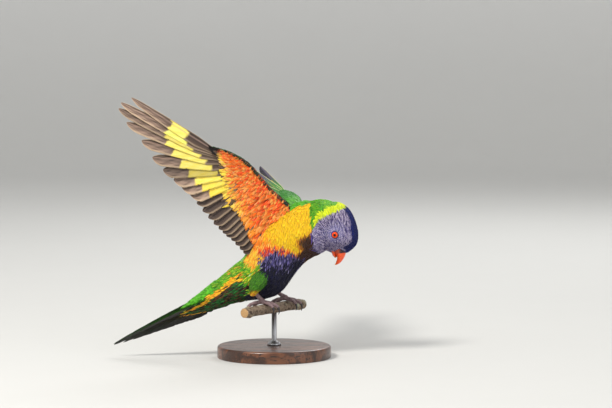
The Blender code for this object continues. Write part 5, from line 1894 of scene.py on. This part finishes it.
def build_perch():
    """A short twig, a little bent and knotted towards its cut ends."""
    heading = unit((*np.subtract(LEFT_FOOT, RIGHT_FOOT), 0.0))
    aside = np.cross(heading, Z_AXIS)
    sides = 72
    angles = round_angles(sides)
    rings, radii = [], []
    for share in (-1.0, *np.linspace(-0.992, 0.992, 220), 1.0):
        bend = 1.4 * max(0.0, abs(share) - 0.5)
        centre = heading * PERCH_HALF_LENGTH * share + aside * bend * math.copysign(1.0, share)
        centre = centre + Z_AXIS * (PERCH_TOP - PERCH_RADIUS - bend)
        knot = 0.9 * math.exp(-(((abs(share) - 0.86) / 0.05) ** 2))
        radius = PERCH_RADIUS - 0.5 * abs(share) + knot - (0.55 if abs(share) > 0.995 else 0.0)
        around = np.stack([np.full(sides, share * 9.0), np.cos(angles) * 2.4, np.sin(angles) * 2.4], axis=1)
        rough = 0.16 * ripple(around, 0.9, 2.0) + 0.07 * ripple(around * (1.0, 3.0, 3.0), 0.7, 5.0) - 0.08
        reach = radius + rough
        up_and_aside = np.outer(np.cos(angles) * reach, Z_AXIS) + np.outer(np.sin(angles) * reach, aside)
        rings.append(centre + up_and_aside)
        radii.append(reach)
    ends = [(rings[at].mean(axis=0), rings[at], radii[at]) for at in (0, -1)]
    for share in (0.66, 0.33):
        start, end = (middle + (ring - middle) * share for middle, ring, _ in ends)
        rings = [start, *rings, end]
        radii = [ends[0][2] * share, *radii, ends[1][2] * share]
    points, faces = tube_of(rings)
    perch = face_out(add_object("perch_twig", points, faces, bark_finish(), "twig_bark"))
    cut = np.zeros((len(rings), sides))
    cut[:3], cut[-3:] = 1.0, 1.0
    write_attribute(perch, "cut_end", "FLOAT", np.concatenate([cut.ravel(), [1.0, 1.0]]))
    write_attribute(perch, "radius", "FLOAT", np.concatenate([*radii, [0.0, 0.0]]))
    perch.data.set_sharp_from_angle(angle=math.radians(50.0))
    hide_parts("perch")


def rounded_profile(corners, bend, steps=5):
    """A profile through corner points, each rounded by a bend."""
    corners = [np.array(c, float) for c in corners]
    made = [corners[0]]
    for before, corner, after in zip(corners, corners[1:], corners[2:]):
        size = min(bend, np.linalg.norm(before - corner) / 2.1, np.linalg.norm(after - corner) / 2.1)
        start, end = corner + unit(before - corner) * size, corner + unit(after - corner) * size
        for t in np.linspace(0.0, 1.0, steps):
            made.append((1 - t) ** 2 * start + 2 * t * (1 - t) * corner + t**2 * end)
    return made + [corners[-1]]


def wood_finish():
    finish = Finish("base_walnut")
    along_grain = finish.where((0.07, 1.0, 0.35))
    rings = finish.math("SINE", finish.math("MULTIPLY", finish.noise(along_grain, 110.0, 4.0, 0.2), 22.0))
    pore = finish.spread(finish.noise(along_grain, 1500.0, 2.0), 0.36, 0.46)
    grain = finish.mix(finish.spread(rings, -1.0, 1.0), dye((0.22, 0.12, 0.07)), dye((0.42, 0.25, 0.15)))
    return finish.feed(
        base_color=finish.mix(pore, dye((0.14, 0.08, 0.05)), grain),
        roughness=finish.spread(pore, 0.0, 1.0, 0.5, 0.32),
        normal=finish.relief(pore, 0.3),
        coat_weight=0.3,
        coat_roughness=0.2,
    )


def steel_finish():
    finish = Finish("rod_brushed_steel")
    brushed = finish.noise(finish.where((1.0, 1.0, 14.0)), 600.0, 4.0)
    return finish.feed(
        base_color=finish.mix(brushed, dye((0.50, 0.50, 0.51)), dye((0.74, 0.74, 0.75))),
        roughness=finish.spread(brushed, 0.3, 0.7, 0.26, 0.42),
        normal=finish.relief(brushed, 0.15, 0.1),
        metallic=1.0,
    )


def build_stand():
    """The turned wooden base and the steel rod, each from the size of its solid."""
    _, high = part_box("stand_base")
    radius, top = high.x / MM, high.z / MM
    profile = rounded_profile([(radius - 1.5, 0.0), (radius, 0.0), (radius, top), (0.5, top)], 2.6, 9)
    points, faces = turned_shape(profile, 160)
    base = face_out(add_object("stand_base_wood", points, faces, wood_finish(), "base_wood"))
    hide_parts("stand_base")
    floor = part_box("stand_rod")[0].z / MM
    collar = [(7.0, floor), (7.0, floor + 1.4), (3.9, floor + 4.0), (2.5, floor + 4.4)]
    profile = rounded_profile([*collar, (2.5, PERCH_TOP - PERCH_RADIUS - 4.9)], 0.7)
    points, faces = turned_shape([(0.4, floor), *profile], 72)
    rod = face_out(add_object("stand_rod_steel", points, faces, steel_finish(), "rod_metal"))
    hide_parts("stand_rod")


# Camera, light and background


CAMERA_ELEVATION = 4.0
CAMERA_DISTANCE = 2.4
CAMERA_AIM = (0.032, 0.0, 0.154)
FRAME_WIDTH_AT_BIRD = 0.612


def add_camera():
    data = bpy.data.cameras.new("camera")
    data.sensor_width = 36.0
    data.lens = data.sensor_width * CAMERA_DISTANCE / FRAME_WIDTH_AT_BIRD
    data.clip_start, data.clip_end = 0.05, 50.0
    camera = bpy.data.objects.new("camera", data)
    bpy.context.scene.collection.objects.link(camera)
    c, s = turned(CAMERA_ELEVATION)
    camera.location = Vector(CAMERA_AIM) + Vector((0.0, -c, s)) * CAMERA_DISTANCE
    camera.rotation_euler = (math.radians(90.0 - CAMERA_ELEVATION), 0.0, 0.0)
    bpy.context.scene.camera = camera


def add_light(name, place, aim, size, power, colour):
    data = bpy.data.lights.new(name, "AREA")
    data.shape = "DISK"
    data.size = size
    data.energy = power
    data.color = colour
    lamp = bpy.data.objects.new(name, data)
    bpy.context.scene.collection.objects.link(lamp)
    lamp.location = place
    lamp.rotation_euler = (Vector(aim) - Vector(place)).to_track_quat("-Z", "Y").to_euler()


def paper_finish():
    finish = Finish("studio_paper")
    _, _, rise = finish.node("ShaderNodeSeparateXYZ", {"Vector": finish.where()}).outputs
    # Painted light: the paper is darker on the floor, where the lamps light it most, and lighter up the
    # curve, where their light falls off
    tone = finish.mix(finish.spread(rise, 0.0, 1.2), dye((0.77, 0.77, 0.76)), dye((0.95, 0.95, 0.95)))
    tone, _ = finish.mottled(tone, 3.0, 0.03)
    return finish.feed(base_color=tone, roughness=0.9)


def add_studio():
    """Three soft lights, an even sky and a sheet of paper that curves up all round."""
    aim = (0.0, 0.0, 0.14)
    add_light("key_light", (-1.1, -1.3, 1.7), aim, 0.6, 54.0, (1.0, 0.97, 0.92))
    add_light("fill_light", (1.8, -1.4, 0.7), aim, 1.6, 12.0, (0.94, 0.97, 1.0))
    add_light("back_light", (0.6, 1.6, 1.5), aim, 1.0, 15.0, (1.0, 1.0, 1.0))
    world = bpy.data.worlds.new("studio")
    world.use_nodes = True
    sky = world.node_tree.nodes["Background"].inputs
    sky["Color"].default_value = (0.90, 0.90, 0.90, 1.0)
    sky["Strength"].default_value = 0.80
    bpy.context.scene.world = world
    profile = [(1.0, -0.05), (2600.0, -0.05)]
    for angle in np.radians(np.linspace(0.0, 90.0, 24)):
        profile.append((3200.0 + 1400.0 * math.sin(angle), 1400.0 * (1.0 - math.cos(angle)) - 0.05))
    profile.append((4600.0, 3200.0))
    points, faces = turned_shape(profile, 96)
    open_top = [face for face in faces if len(points) - 1 not in face]
    add_object("studio_paper", points[:-1], open_top, paper_finish())


def main():
    bpy.context.scene.view_settings.view_transform = "Standard"
    skin = Skin()
    finish_skin(skin)
    small_feathers(skin)
    build_wings()
    build_tail()
    build_bill()
    build_cere()
    build_eyes()
    build_feet()
    build_perch()
    build_stand()
    add_camera()
    add_studio()


main()
